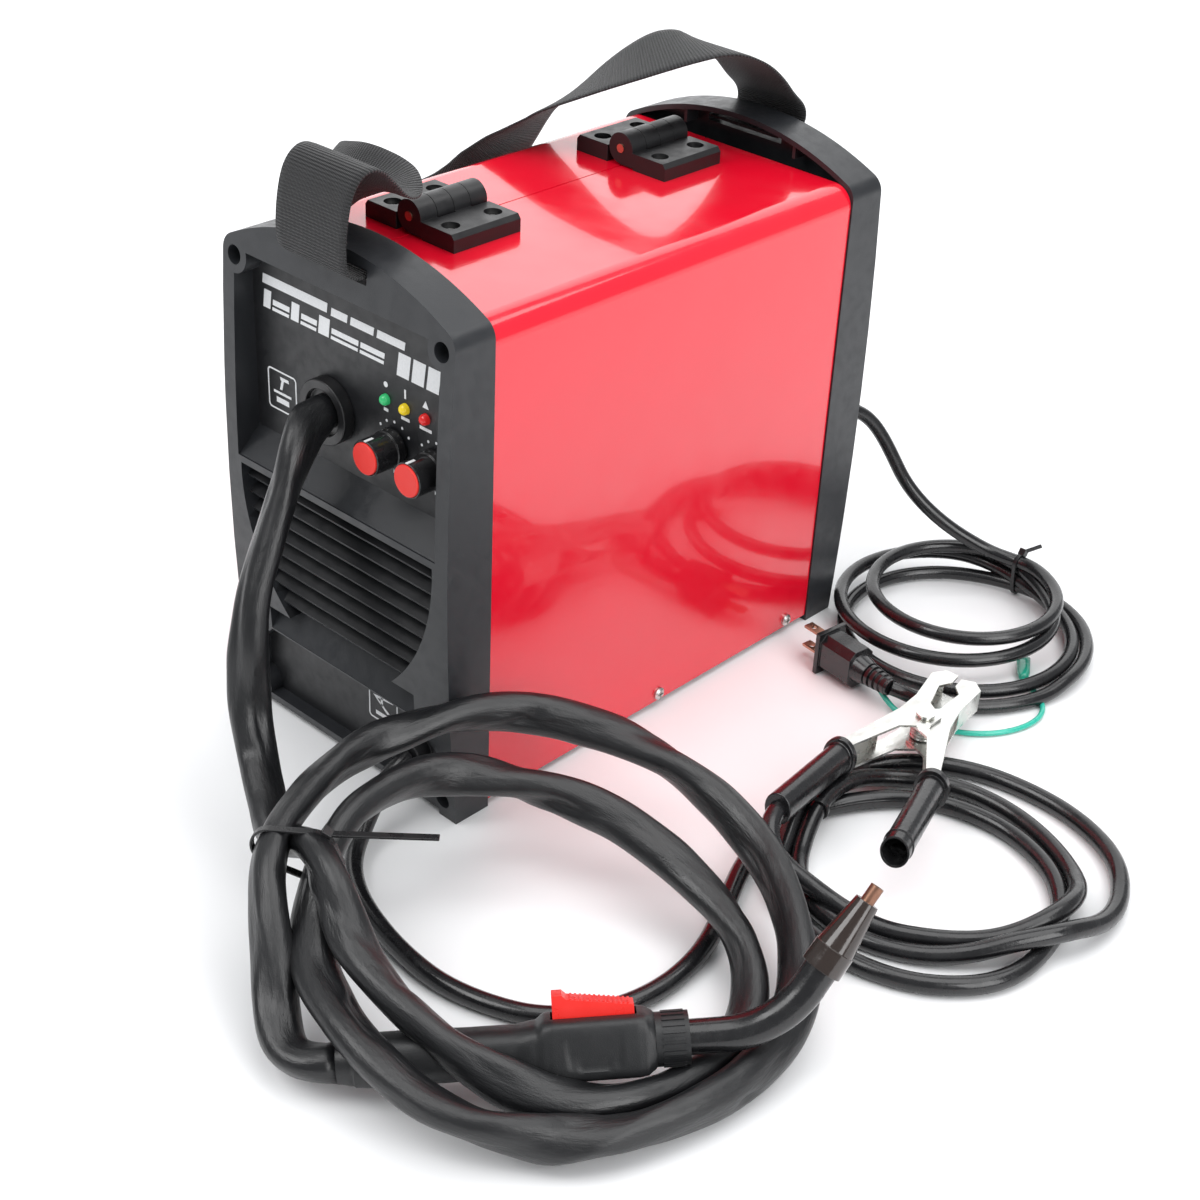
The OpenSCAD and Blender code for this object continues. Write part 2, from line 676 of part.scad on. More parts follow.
module pill_2d(w, h, r) {
  square([w - 2 * r, h], center = true);
  square([w, h - 2 * r], center = true);
  for (x = [-1, 1]) for (y = [-1, 1]) translate([x * (w / 2 - r), y * (h / 2 - r)])
    circle(r = r, $fn = 48);
}

module bar_x(x0, x1) translate([x0, 0, 0]) rotate([90, 0, 90]) linear_extrude(height = x1 - x0)
  children();

module torch_handle() color(black) torch_pose() {
  bar_x(-handle_len, -48) pill_2d(24, 23, 10);
  translate([-handle_len, 0, 0]) rotate([0, -90, 0]) cylinder(r1 = 11, r2 = 9.8, h = 8, $fn = 48);
  difference() {
    bar_x(-48, -4) pill_2d(27, 28, 6);
    block(-45.5, -7.5, -6, 6, 8, 20);
    trigger_pivot() cylinder(r = 1.46, h = 15, center = true, $fn = 32);
  }
  bar_x(-4, 0) pill_2d(24, 24, 8);
}

module trigger_pivot() translate([-11, 0, 10.8]) rotate([90, 0, 0]) children();

module torch_trigger() color(red) torch_pose() {
  trigger_pivot() cylinder(r = 1.4, h = 14, center = true, $fn = 32);
  block(-13, -8.9, -5.5, 5.5, 9, 13);
  translate([0, 5.5, 0]) rotate([90, 0, 0]) linear_extrude(height = 11)
    polygon([[-44.5, 12.4], [-8.5, 12.4], [-8.5, 18], [-38, 22], [-40, 24], [-44.5, 24]]);
  for (i = [0:12]) block(-36.5 + 2.1 * i, -35.5 + 2.1 * i, -5, 5, 17, 22.3 - 0.28 * i);
}

module torch_collar() color(black) torch_pose() {
  translate([0, 0, 0]) rotate([0, 90, 0]) cylinder(r = 12, h = 15, $fn = 48);
  for (k = [0:23]) rotate([k * 15, 0, 0]) block(3, 13, 11, 12.5, -0.8, 0.8);
}

module neck_end() translate([neck_x + neck_R * sin(neck_bend), 0, neck_R * (1 - cos(neck_bend))])
  rotate([0, -neck_bend, 0]) children();

module torch_neck() color(black) torch_pose() {
  bar_x(15, neck_x + 1) circle(r = 7.9, $fn = 48);
  translate([neck_x, 0, neck_R]) rotate([90, 0, 0]) rotate([0, 0, -90])
    rotate_extrude(angle = neck_bend, $fn = 96) translate([neck_R, 0]) circle(r = 8, $fn = 48);
  neck_end() bar_x(-1, 9) circle(r = 7.9, $fn = 48);
}

module torch_nozzle() color(black) torch_pose() neck_end() {
  bar_x(9, 20) circle(r = 9.6, $fn = 48);
  translate([20, 0, 0]) rotate([0, 90, 0]) cylinder(r1 = 9.2, r2 = 5.6, h = 25, $fn = 48);
}

module contact_tip() color([0.72, 0.42, 0.28]) torch_pose() neck_end() difference() {
  bar_x(45, 53) circle(r = 3.2, $fn = 32);
  bar_x(49, 55) circle(r = 0.8, $fn = 24);
}

// ---------- clamp ----------
module clamp_pose() translate(clamp_at) rotate([clamp_tilt, 0, clamp_yaw]) children();

// one half, drawn for the left side: cheeks k1..k2 off the middle plane, web on the outer edge
module jaw_half(k1, k2) {
  for (s = [-1, 1]) mirror([0, 0, s > 0 ? 0 : 1]) translate([0, 0, k1]) difference() {
    linear_extrude(height = k2 - k1)
      polygon([[-1, 56], [-9, 58], [-15, 50], [-13, 20], [-15, 0], [-20, -20], [-30, -60],
        [-24, -62], [-8, -18], [6, -8], [8, 4], [-3, 16], [-6, 38], [-1, 46]]);
    translate([0, 0, -1]) cylinder(r = 4.05, h = 5, $fn = 32);
  }
  linear_extrude(height = 2 * k1, center = true)
    polygon([[-9, 58], [-15, 50], [-13, 20], [-11.5, 20], [-13.5, 49.5], [-8.4, 56.6]]);
  linear_extrude(height = 2 * k1, center = true)
    polygon([[-20, -20], [-30, -60], [-28.5, -60.4], [-18.5, -20]]);
}

module clamp_fixed_jaw() color(steel) clamp_pose() {
  jaw_half(6.8, 8.2);
  cylinder(r = 4, h = 18.4, center = true, $fn = 32);
  for (s = [-1, 1]) translate([0, 0, s * 9.7]) cylinder(r = 5.2, h = 1, center = true, $fn = 32);
}

module clamp_moving_jaw() color(steel) clamp_pose() mirror([1, 0, 0]) jaw_half(5.2, 6.6);

module clamp_spring() color(steel) clamp_pose() {
  for (k = [-2:2]) translate([0, 0, k * 1.9]) rotate_extrude($fn = 64)
    translate([6, 0]) circle(r = 0.9, $fn = 24);
}

module grip(sx, fat) clamp_pose() mirror([sx > 0 ? 1 : 0, 0, 0]) translate([-26, -54, 0])
  rotate([0, 0, -5]) rotate([90, 0, 0]) {
    difference() {
      union() {
        cylinder(r = 9.2, h = 70, $fn = 48);
        cylinder(r = 11.6, h = 4, $fn = 48);
        if (fat == 0) translate([0, 0, 62]) cylinder(r = 9.8, h = 1.5, $fn = 48);
      }
      translate([0, 0, -1]) cylinder(r = 7.8, h = fat == 0 ? 80 : 60, $fn = 48);
    }
  }

module clamp_fixed_grip() color(black) grip(-1, 1);

module clamp_moving_grip() color(black) grip(1, 0);

// ---------- cords ----------
// a round tube swept along route points; each ring's frame is carried from the one before
function turned(a, d) = unit(a - (a * d) * d);
function frames(p, i, a) = i >= len(p) ? [] :
  let (b = turned(a, run(p, i))) concat([b], frames(p, i + 1, b));

module tube(p, r, n) {
  m = len(p);
  start = abs(run(p, 0)[2]) > 0.9 ? [1, 0, 0] : [0, 0, 1];
  f = frames(p, 0, start);
  pts = [for (i = [0:m - 1]) for (k = [0:n - 1])
    at(p, i) + r * (cos(360 * k / n) * f[i] + sin(360 * k / n) * cross(run(p, i), f[i]))];
  faces = concat([[for (k = [0:n - 1]) k]],
    [for (i = [0:m - 2]) for (k = [0:n - 1])
      [n * i + k, n * i + n + k, n * i + n + (k + 1) % n]],
    [for (i = [0:m - 2]) for (k = [0:n - 1])
      [n * i + k, n * i + n + (k + 1) % n, n * i + (k + 1) % n]],
    [[for (k = [0:n - 1]) n * m - 1 - k]]);
  polyhedron(points = pts, faces = faces, convexity = 10);
}

// a round coil: centre, radius, rise per mm along x and y
module coil(c, big, r, tx, ty) translate(c)
  rotate([asin(ty / norm([tx, ty, 1])), -atan(tx), 0])
    rotate_extrude($fn = 128) translate([big, 0]) circle(r = r, $fn = 32);

torch_drop = [
  [-16, -154, 202], [-14, -166, 202], [-8, -177, 196], [-5.5, -188, 179], [-6, -199, 155],
  [-3, -209, 131.5], [5, -221, 105], [17, -235, 82], [38, -250, 66], [60, -263, 60],
  [82, -277, 57], [98, -288, 56], [109, -295, 55]
];
torch_tail = [
  [103.6, -236, 66.8], [105, -246, 64.5], [108.5, -259, 60], [113, -273, 50],
  [118, -290, 38], [126, -308, 27], [137, -325, 18], [151, -337, 12.5], [166, -340, 12.5],
  [179, -333.5, 15.9], [187.1, -324.7, 16.8]
];
earth_run = [
  [57, -167, 33.6], [58, -178, 31], [60, -190, 22], [65, -205, 10], [76, -221, 5.2],
  [97, -235, 5.1], [120, -243, 5.1], [145, -248, 5.1], [172, -249, 5.1], [197, -243, 5.1],
  [220, -231, 5.1], [238, -208, 5.1], [246, -178, 5.1], [243, -145, 5.1], [229, -109, 5.1],
  [211, -76, 5.1], [203, -46, 5.1]
];
earth_tail = [
  [277, -70.7, 5.1], [262, -74, 7.5], [249, -79, 13.5], [239, -81.5, 21], [230.5, -80.5, 29.5],
  [223.5, -74, 33.2], [219.1, -61.2, 34.5], [217.2, -49.5, 33.3]
];
mains_drop = [
  [56, 184, 118], [60, 194, 116], [66, 203, 110], [73, 210, 98], [80, 215, 84],
  [88, 220, 68], [100, 226, 54], [114, 234, 42], [128, 244, 32], [141, 253, 25],
  [152, 259, 22]
];
mains_end = [
  [166.8, 265.7, 5], [193, 258.7, 5], [215.2, 243.2, 5], [230.7, 221, 4.8],
  [237.8, 190, 4.6], [236.5, 172, 4.3], [231.5, 155, 4.3], [224, 141, 4.3], [214, 128.5, 4.3],
  [204, 119.5, 4.3], [195.5, 112.5, 4.5], [188.5, 106.2, 7.4], [182.3, 100.5, 11.6],
  [176.5, 96.8, 13.7]
];
bond_run = [
  [168, 98, 8.3], [175, 96, 5.2], [184, 94, 2.6], [196, 95, 1.7], [210, 99, 1.7],
  [224, 107, 1.7], [236, 120, 1.7], [243, 136, 1.7], [244, 152, 1.7], [238, 164, 1.7],
  [228, 171, 1.7], [216, 177, 2.6]
];

module torch_lead() color(black) {
  tube(torch_drop, lead_r, 12);
  tube(torch_tail, lead_r, 12);
}

module torch_coils() color(black) {
  coil([206, -216, 38.9], 124, lead_r, -0.23, 0.045);
  coil([201, -218, 38.6], 103, lead_r, -0.29, 0);
}

module earth_lead() color(black) {
  tube(earth_run, earth_r, 10);
  tube(earth_tail, earth_r, 10);
}

module earth_coils() color(black) {
  for (big = [66, 77, 88]) coil([283, -5, 5.1], big, earth_r, 0, 0);
}

module mains_cord() color(black) {
  tube(mains_drop, mains_r, 10);
  tube(mains_end, mains_r, 10);
}

module mains_coils() color(black) {
  coil([160, 188, 6.2], 69, mains_r, 0.027, 0);
  coil([146, 195, 15], 65, mains_r, 0.027, 0);
  coil([152, 203, 23.8], 56, mains_r, 0.027, 0);
}

module bonding_wire() color([0.1, 0.6, 0.45]) {
  tube(bond_run, bond_r, 8);
  translate([216, 177, 3.2]) rotate([0, 0, 124]) block(-1, 22, -4, 4, -3, 3);
}

module plug_body() color(black) translate([125, 104, 13.7]) rotate([0, 0, -8]) {
  block(0, 3, -11, 11, -13.5, 13.5);
  difference() {
    block(3, 27, -9.5, 9.5, -12, 12);
    for (s = [-1, 1]) for (t = [-1, 1]) translate([3, s * 9.5, t * 12]) rotate([45, 0, 0])
      block(-1, 30, -3, 3, -3, 3);
  }
  translate([27, 0, 0]) rotate([0, 90, 0]) cylinder(r1 = 9, r2 = 7, h = 8, $fn = 32);
  for (k = [0:3]) translate([36 + 4 * k, 0, 0]) rotate([0, 90, 0])
    cylinder(r = 6.8 - 0.4 * k, h = 2.6, $fn = 32);
  translate([35, 0, 0]) rotate([0, 90, 0]) cylinder(r = 5, h = 17, $fn = 32);
}

module plug_blades() color([0.72, 0.5, 0.4]) translate([125, 104, 13.7]) rotate([0, 0, -8])
  for (s = [-1, 1]) difference() {
    block(-17.5, 0, -3.2, 3.2, s * 6.35 - 0.75, s * 6.35 + 0.75);
    translate([-12.5, 0, s * 6.35 - 2]) cylinder(r = 1.6, h = 4, $fn = 24);
  }

// a tie is a flat band round the bundle with its locking head and tail
module tie(w, h, band) {
  difference() {
    linear_extrude(height = band, center = true) pill_2d(w + 2, h + 2, min(w, h) / 2 - 1);
    linear_extrude(height = band + 2, center = true) pill_2d(w, h, min(w, h) / 2 - 2);
  }
  block(w / 2, w / 2 + 5, -3, 3, -band / 2, band / 2);
}

module cable_ties() color(black) {
  translate([108.6, -277.3, 57.5]) rotate([90, 0, 33]) tie(46, 40, 4);
  translate([129.6, -263.7, 62]) rotate([0, 0, 42]) block(0, 40, -0.7, 0.7, -2, 2);
  translate([219.5, -48, 6.7]) rotate([90, 0, 34]) tie(35, 11, 3);
  translate([156, 261, 14.6]) rotate([90, 0, 88]) tie(19, 27, 2.5);
}

base_chassis();
front_bezel();
rear_bezel();
side_cover();
wire_door();
hinge_fixed_leaves();
hinge_door_leaves();
hinge_pins();
hinge_fixed_screws();
hinge_door_screws();
panel_screws();
rubber_feet();
carry_strap();
door_latch();
voltage_knob();
voltage_knob_cap();
speed_knob();
speed_knob_cap();
status_lamps();
torch_gland();
earth_gland();
fan_frame();
fan_rotor();
switch_body();
switch_rocker();
cord_gland();
spool_hub();
spool_nut();
wire_spool();
wire_winding();
feed_motor();
feeder_block();
drive_roll();
pressure_arm();
pressure_roll();
tension_bolt();
main_board();
control_board();
heatsink();
torch_handle();
torch_trigger();
torch_collar();
torch_neck();
torch_nozzle();
contact_tip();
clamp_fixed_jaw();
clamp_moving_jaw();
clamp_spring();
clamp_fixed_grip();
clamp_moving_grip();
torch_lead();
torch_coils();
earth_lead();
earth_coils();
mains_cord();
mains_coils();
bonding_wire();
plug_body();
plug_blades();
cable_ties();
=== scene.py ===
"""Small wire-feed welder in a plain pale studio. Metres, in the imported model's frame."""
import json
import math
import random

import bmesh
import bpy
from mathutils import Matrix, Vector


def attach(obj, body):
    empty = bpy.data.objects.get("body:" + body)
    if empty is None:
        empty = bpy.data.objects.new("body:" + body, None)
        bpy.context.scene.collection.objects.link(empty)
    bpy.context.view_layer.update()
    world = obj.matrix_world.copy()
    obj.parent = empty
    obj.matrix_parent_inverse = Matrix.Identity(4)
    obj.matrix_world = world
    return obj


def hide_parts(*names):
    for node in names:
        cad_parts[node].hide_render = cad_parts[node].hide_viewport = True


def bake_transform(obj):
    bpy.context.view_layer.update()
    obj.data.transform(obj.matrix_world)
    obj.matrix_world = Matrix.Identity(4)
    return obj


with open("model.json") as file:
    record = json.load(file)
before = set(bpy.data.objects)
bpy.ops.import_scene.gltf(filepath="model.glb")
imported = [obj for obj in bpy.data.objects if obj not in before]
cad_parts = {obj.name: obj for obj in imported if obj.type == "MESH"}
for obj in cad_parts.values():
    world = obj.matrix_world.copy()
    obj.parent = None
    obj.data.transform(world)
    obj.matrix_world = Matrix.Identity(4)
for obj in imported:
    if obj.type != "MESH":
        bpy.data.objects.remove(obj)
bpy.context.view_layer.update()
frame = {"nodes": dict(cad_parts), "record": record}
NODES = frame["nodes"]
MM = 0.001

# ---------------------------------------------------------------- case numbers, mm
FLOOR_Y = 150.0
KNOB_Z = 199.0
LAMP_Z = 222.5
LAMP_X = (25.0, 39.0, 53.5)
KNOB_X = (31.0, 61.0)

# ---------------------------------------------------------------- poses of the loose tools
TORCH_AT, TORCH_YAW, TORCH_RISE, TORCH_LEAN = (282.3, -222.6, 28.5), 47, 4.8, 28
CLAMP_AT, CLAMP_YAW, CLAMP_TILT = (220, 66, 22.6), 14.2, -5.5
GRIP_X, GRIP_Y, GRIP_SPLAY = 26, -54, 5

# ---------------------------------------------------------------- camera, degrees and metres
CAMERA_AZIMUTH, CAMERA_ELEVATION, CAMERA_ROLL = 41.99, 31.91, 2.91
CAMERA_AT = (0.6957, -0.7329, 0.6633)
LENS_MM, SENSOR_MM = 60.73, 36.0

# ---------------------------------------------------------------- light: size, watts, place, aim
LIGHTS = {
    "key": ((1.6, 1.6), 38, (-0.6, -1.6, 2.3), (0.05, -0.05, 0.1)),
    "top": ((2.4, 2.4), 46, (0.6, 0.4, 2.6), (0.1, 0.0, 0.1)),
    "side": ((1.4, 1.8), 34, (2.3, -0.3, 1.3), (0.1, 0.0, 0.15)),
    "back_wall": ((3.6, 2.0), 28, (-1.07, 1.19, 1.15), (0, 0, 0.95)),
}
SKY_COLOUR, SKY_STRENGTH = (0.95, 0.97, 1.0, 1), 0.40
FLOOR_HALF = 30.0
FLOOR_DROP = 0.0002

# corner order of a box whose corners are listed x slowest, z fastest
BOX_FACES = ((0, 1, 3, 2), (4, 6, 7, 5), (0, 4, 5, 1), (2, 3, 7, 6), (0, 2, 6, 4), (1, 5, 7, 3))


def mm(*v):
    return Vector([x * MM for x in v])


def placed(at, *rotations):
    """Matrix that turns by each (degrees, axis) pair, last one first, then moves to at, in mm."""
    pose = Matrix.Translation(mm(*at))
    for degrees, axis in rotations:
        pose = pose @ Matrix.Rotation(math.radians(degrees), 4, axis)
    return pose


# ---------------------------------------------------------------- materials
def new_material(name):
    m = bpy.data.materials.new(name)
    m.use_nodes = True
    return m, m.node_tree, m.node_tree.nodes["Principled BSDF"]


def coordinates(tree, kind="Object", scale=(1, 1, 1)):
    tc = tree.nodes.new("ShaderNodeTexCoord")
    mp = tree.nodes.new("ShaderNodeMapping")
    mp.inputs["Scale"].default_value = scale
    tree.links.new(tc.outputs[kind], mp.inputs["Vector"])
    return mp.outputs["Vector"]


def noise(tree, vec, scale, detail=3.0, rough=0.55):
    n = tree.nodes.new("ShaderNodeTexNoise")
    n.inputs["Scale"].default_value = scale
    n.inputs["Detail"].default_value = detail
    n.inputs["Roughness"].default_value = rough
    tree.links.new(vec, n.inputs["Vector"])
    return n.outputs["Fac"]


def ramp(tree, fac, lo, hi, a=0.35, b=0.65):
    r = tree.nodes.new("ShaderNodeMapRange")
    r.inputs["From Min"].default_value = a
    r.inputs["From Max"].default_value = b
    r.inputs["To Min"].default_value = lo
    r.inputs["To Max"].default_value = hi
    tree.links.new(fac, r.inputs["Value"])
    return r.outputs["Result"]


def mix_colour(tree, fac, a, b):
    m = tree.nodes.new("ShaderNodeMix")
    m.data_type = "RGBA"
    m.inputs["A"].default_value = (*a, 1)
    m.inputs["B"].default_value = (*b, 1)
    tree.links.new(fac, m.inputs["Factor"])
    return m.outputs["Result"]


def bump(tree, shader, height, distance, strength=1.0):
    b = tree.nodes.new("ShaderNodeBump")
    b.inputs["Strength"].default_value = strength
    b.inputs["Distance"].default_value = distance
    old = shader.inputs["Normal"].links
    if old:
        tree.links.new(old[0].from_socket, b.inputs["Normal"])
    tree.links.new(height, b.inputs["Height"])
    tree.links.new(b.outputs["Normal"], shader.inputs["Normal"])


def moulded(name, base, rough, grain=1800, depth=0.00006, vary=0.25, coat=0.0, metal=0.0,
            spread=0.08, specular=0.5, stretch=(1, 1, 1)):
    """Moulded or painted surface: fine grain, slow colour drift and uneven gloss."""
    m, t, s = new_material(name)
    v = coordinates(t, "Object", stretch)
    slow = noise(t, v, 22, 4)
    dark = [c * (1 - vary) for c in base]
    light = [min(1, c * (1 + vary)) for c in base]
    t.links.new(mix_colour(t, slow, dark, light), s.inputs["Base Color"])
    mid = noise(t, v, 140, 5)
    t.links.new(ramp(t, mid, rough - spread, rough + spread), s.inputs["Roughness"])
    s.inputs["Metallic"].default_value = metal
    s.inputs["Specular IOR Level"].default_value = specular
    s.inputs["Coat Weight"].default_value = coat
    s.inputs["Coat Roughness"].default_value = 0.06
    bump(t, s, noise(t, v, grain, 2), depth)
    return m


def red_paint():
    m, t, s = new_material("red_powder_coat")
    v = coordinates(t)
    slow = noise(t, v, 9, 3)
    t.links.new(mix_colour(t, slow, (0.70, 0.003, 0.018), (0.80, 0.006, 0.028)),
                s.inputs["Base Color"])
    t.links.new(ramp(t, noise(t, v, 60, 4), 0.13, 0.22), s.inputs["Roughness"])
    s.inputs["Coat Weight"].default_value = 0.8
    s.inputs["Coat Roughness"].default_value = 0.05
    bump(t, s, noise(t, v, 260, 1), 0.00005)
    bump(t, s, noise(t, v, 14, 2), 0.0007)
    return m


def zinc(name, base=(0.62, 0.62, 0.60), rough=0.32, stretch=(1, 1, 6)):
    m, t, s = new_material(name)
    v = coordinates(t, "Object", stretch)
    slow = noise(t, v, 55, 6)
    t.links.new(mix_colour(t, slow, [c * 0.72 for c in base], [min(1, c * 1.25) for c in base]),
                s.inputs["Base Color"])
    t.links.new(ramp(t, noise(t, v, 90, 6), rough - 0.12, rough + 0.14), s.inputs["Roughness"])
    s.inputs["Metallic"].default_value = 1.0
    bump(t, s, noise(t, v, 900, 4), 0.00004)
    return m


def webbing():
    """Ribs across the strap from its own UVs: u runs along it, v across, both in metres. The colour
    follows the ribs: painted highlight on the crests, painted shade in the grooves.
    """
    m, t, s = new_material("webbing")
    uv = coordinates(t, "UV")
    rib_relief_and_shade = t.nodes.new("ShaderNodeTexWave")
    rib_relief_and_shade.wave_type = "BANDS"
    rib_relief_and_shade.bands_direction = "X"
    rib_relief_and_shade.inputs["Scale"].default_value = 190
    rib_relief_and_shade.inputs["Distortion"].default_value = 0.35
    rib_relief_and_shade.inputs["Detail Scale"].default_value = 3.0
    t.links.new(uv, rib_relief_and_shade.inputs["Vector"])
    yarns = t.nodes.new("ShaderNodeTexWave")
    yarns.wave_type = "BANDS"
    yarns.bands_direction = "Y"
    yarns.inputs["Scale"].default_value = 330
    yarns.inputs["Distortion"].default_value = 0.6
    t.links.new(uv, yarns.inputs["Vector"])
    # painted highlight and shade: rib crests lighter, grooves darker, following the rib relief
    t.links.new(mix_colour(t, rib_relief_and_shade.outputs["Fac"], (0.0035, 0.0035, 0.004), (0.017, 0.017, 0.019)),
                s.inputs["Base Color"])
    s.inputs["Roughness"].default_value = 0.62
    s.inputs["Sheen Weight"].default_value = 0.1
    s.inputs["Sheen Roughness"].default_value = 0.4
    bump(t, s, yarns.outputs["Fac"], 0.00022)
    bump(t, s, rib_relief_and_shade.outputs["Fac"], 0.0006)
    return m


def sleeve():
    """The torch lead's wrinkled sleeve: creases run along it, from its own UVs, and its colour is
    darker down in the creases as painted shade.
    """
    m, t, s = new_material("torch_sleeve")
    v = coordinates(t, "UV", (16, 60, 1))
    crease_relief_and_shade = noise(t, v, 1.0, 6, 0.62)
    # painted shade: the colour follows the crease relief, darker in the creases and lighter on the
    # ridges
    t.links.new(mix_colour(t, crease_relief_and_shade, (0.003, 0.003, 0.0035), (0.011, 0.0115, 0.013)),
                s.inputs["Base Color"])
    t.links.new(ramp(t, crease_relief_and_shade, 0.27, 0.46), s.inputs["Roughness"])
    s.inputs["Coat Weight"].default_value = 0.12
    s.inputs["Coat Roughness"].default_value = 0.3
    bump(t, s, noise(t, coordinates(t), 1500, 2), 0.00008)
    bump(t, s, crease_relief_and_shade, 0.0022, 0.8)
    return m


def lens(name, base, glow):
    m, t, s = new_material(name)
    v = coordinates(t)
    t.links.new(mix_colour(t, noise(t, v, 400, 2), [c * 0.75 for c in base], base),
                s.inputs["Base Color"])
    t.links.new(ramp(t, noise(t, v, 300, 2), 0.06, 0.14), s.inputs["Roughness"])
    s.inputs["Transmission Weight"].default_value = 0.25
    s.inputs["Emission Color"].default_value = (*base, 1)
    s.inputs["Emission Strength"].default_value = glow
    return m


def print_white():
    m, t, s = new_material("white_print")
    v = coordinates(t)
    t.links.new(mix_colour(t, noise(t, v, 900, 3), (0.66, 0.67, 0.68), (0.84, 0.85, 0.86)),
                s.inputs["Base Color"])
    t.links.new(ramp(t, noise(t, v, 300, 3), 0.35, 0.55), s.inputs["Roughness"])
    return m


MAT = {
    "red": red_paint(),
    "bezel": moulded("bezel_abs", (0.0195, 0.0210, 0.0240), 0.36, 2200, 0.00007, 0.15),
    # darker plastic of the control panel, also laid on the lower recess and the louvre slats as
    # painted shade
    "panel": moulded("dark_panel_and_painted_recess_shade", (0.0085, 0.0090, 0.0105), 0.40, 2400, 0.00006, 0.2),
    "nylon": moulded("black_nylon", (0.010, 0.010, 0.011), 0.36, 1500, 0.00008, 0.3),
    "gloss": moulded("gloss_black", (0.012, 0.012, 0.013), 0.22, 900, 0.00003, 0.3, coat=0.3),
    "rubber": moulded("cord_rubber", (0.0075, 0.0075, 0.0085), 0.25, 700, 0.00006, 0.35,
                      coat=0.2),
    "grip": moulded("grip_vinyl", (0.009, 0.009, 0.010), 0.26, 500, 0.00012, 0.35, coat=0.25),
    "foot": moulded("foot_rubber", (0.014, 0.014, 0.014), 0.65, 1200, 0.0001, 0.3),
    "handle": moulded("handle_nylon", (0.011, 0.0115, 0.0125), 0.42, 1900, 0.00009, 0.25),
    "trigger": moulded("trigger_red", (0.80, 0.022, 0.016), 0.34, 900, 0.00004, 0.08),
    "cap": moulded("cap_red", (0.78, 0.030, 0.022), 0.42, 1300, 0.00006, 0.08),
    "nozzle": moulded("nozzle_phenolic", (0.022, 0.014, 0.011), 0.16, 500, 0.00004, 0.4,
                      coat=0.5),
    "switch": moulded("switch_black", (0.015, 0.015, 0.016), 0.3, 1300, 0.00005, 0.3),
    "rocker": moulded("rocker_red", (0.62, 0.02, 0.018), 0.28, 1100, 0.00004, 0.1),
    "bond": moulded("bond_green", (0.025, 0.46, 0.34), 0.25, 500, 0.00004, 0.15, coat=0.3),
    "bond_sleeve": moulded("bond_sleeve_green", (0.012, 0.30, 0.20), 0.22, 500, 0.00006, 0.25,
                           coat=0.4),
    "tie": moulded("tie_nylon", (0.013, 0.013, 0.014), 0.3, 900, 0.00005, 0.3),
    "zinc": zinc("zinc_plate"),
    "chassis": zinc("chassis_zinc", (0.48, 0.49, 0.50), 0.42, (1, 1, 1)),
    "jaw": zinc("jaw_zinc", (0.72, 0.72, 0.69), 0.28, (3, 1, 1)),
    "fins": zinc("fin_aluminium", (0.66, 0.67, 0.68), 0.38, (1, 8, 1)),
    "copper": zinc("copper_tip", (0.62, 0.34, 0.24), 0.30, (1, 1, 1)),
    "tip": zinc("worn_tip", (0.30, 0.16, 0.11), 0.40, (1, 1, 1)),
    "winding": zinc("wire_winding", (0.72, 0.42, 0.26), 0.34, (40, 1, 1)),
    "board": moulded("board_green", (0.012, 0.10, 0.045), 0.35, 600, 0.00008, 0.35, coat=0.3),
    "webbing": webbing(),
    "sleeve": sleeve(),
    "print": print_white(),
    "lamp_green": lens("lamp_green", (0.05, 0.55, 0.20), 0.25),
    "lamp_yellow": lens("lamp_yellow", (0.85, 0.66, 0.03), 0.25),
    "lamp_red": lens("lamp_red", (0.75, 0.03, 0.03), 0.25),
}

NODE_LOOK = {
    "base_chassis": "chassis", "front_bezel": "bezel", "rear_bezel": "bezel",
    "side_cover": "red", "wire_door": "red", "hinge_fixed_leaves": "nylon",
    "hinge_door_leaves": "nylon", "hinge_pins": "copper", "hinge_fixed_screws": "zinc",
    "hinge_door_screws": "zinc", "panel_screws": "zinc", "rubber_feet": "foot",
    "carry_strap": "webbing", "door_latch": "nylon", "voltage_knob": "gloss",
    "voltage_knob_cap": "cap", "speed_knob": "gloss", "speed_knob_cap": "cap",
    "status_lamps": "lamp_green", "torch_gland": "nylon", "earth_gland": "nylon",
    "fan_frame": "switch", "fan_rotor": "switch", "switch_body": "switch",
    "switch_rocker": "rocker", "cord_gland": "nylon", "spool_hub": "nylon",
    "spool_nut": "nylon", "wire_spool": "gloss", "wire_winding": "winding",
    "feed_motor": "zinc", "feeder_block": "nylon", "drive_roll": "zinc",
    "pressure_arm": "nylon", "pressure_roll": "zinc", "tension_bolt": "nylon",
    "main_board": "board", "control_board": "board", "heatsink": "fins",
    "torch_handle": "handle", "torch_trigger": "trigger", "torch_collar": "handle",
    "torch_neck": "rubber", "torch_nozzle": "nozzle", "contact_tip": "tip",
    "clamp_fixed_jaw": "jaw", "clamp_moving_jaw": "jaw", "clamp_spring": "zinc",
    "clamp_fixed_grip": "grip", "clamp_moving_grip": "grip", "torch_lead": "sleeve",
    "torch_coils": "sleeve", "earth_lead": "rubber", "earth_coils": "rubber",
    "mains_cord": "rubber", "mains_coils": "rubber", "bonding_wire": "bond",
    "plug_body": "gloss", "plug_blades": "copper", "cable_ties": "tie",
}


def dress(obj, look):
    obj.data.materials.clear()
    obj.data.materials.append(MAT[look])
    return obj


for node_name, look in NODE_LOOK.items():
    dress(NODES[node_name], look)

BODY_OF = {n: b for b, ns in frame["record"]["behaviour"]["bodies"].items() for n in ns}


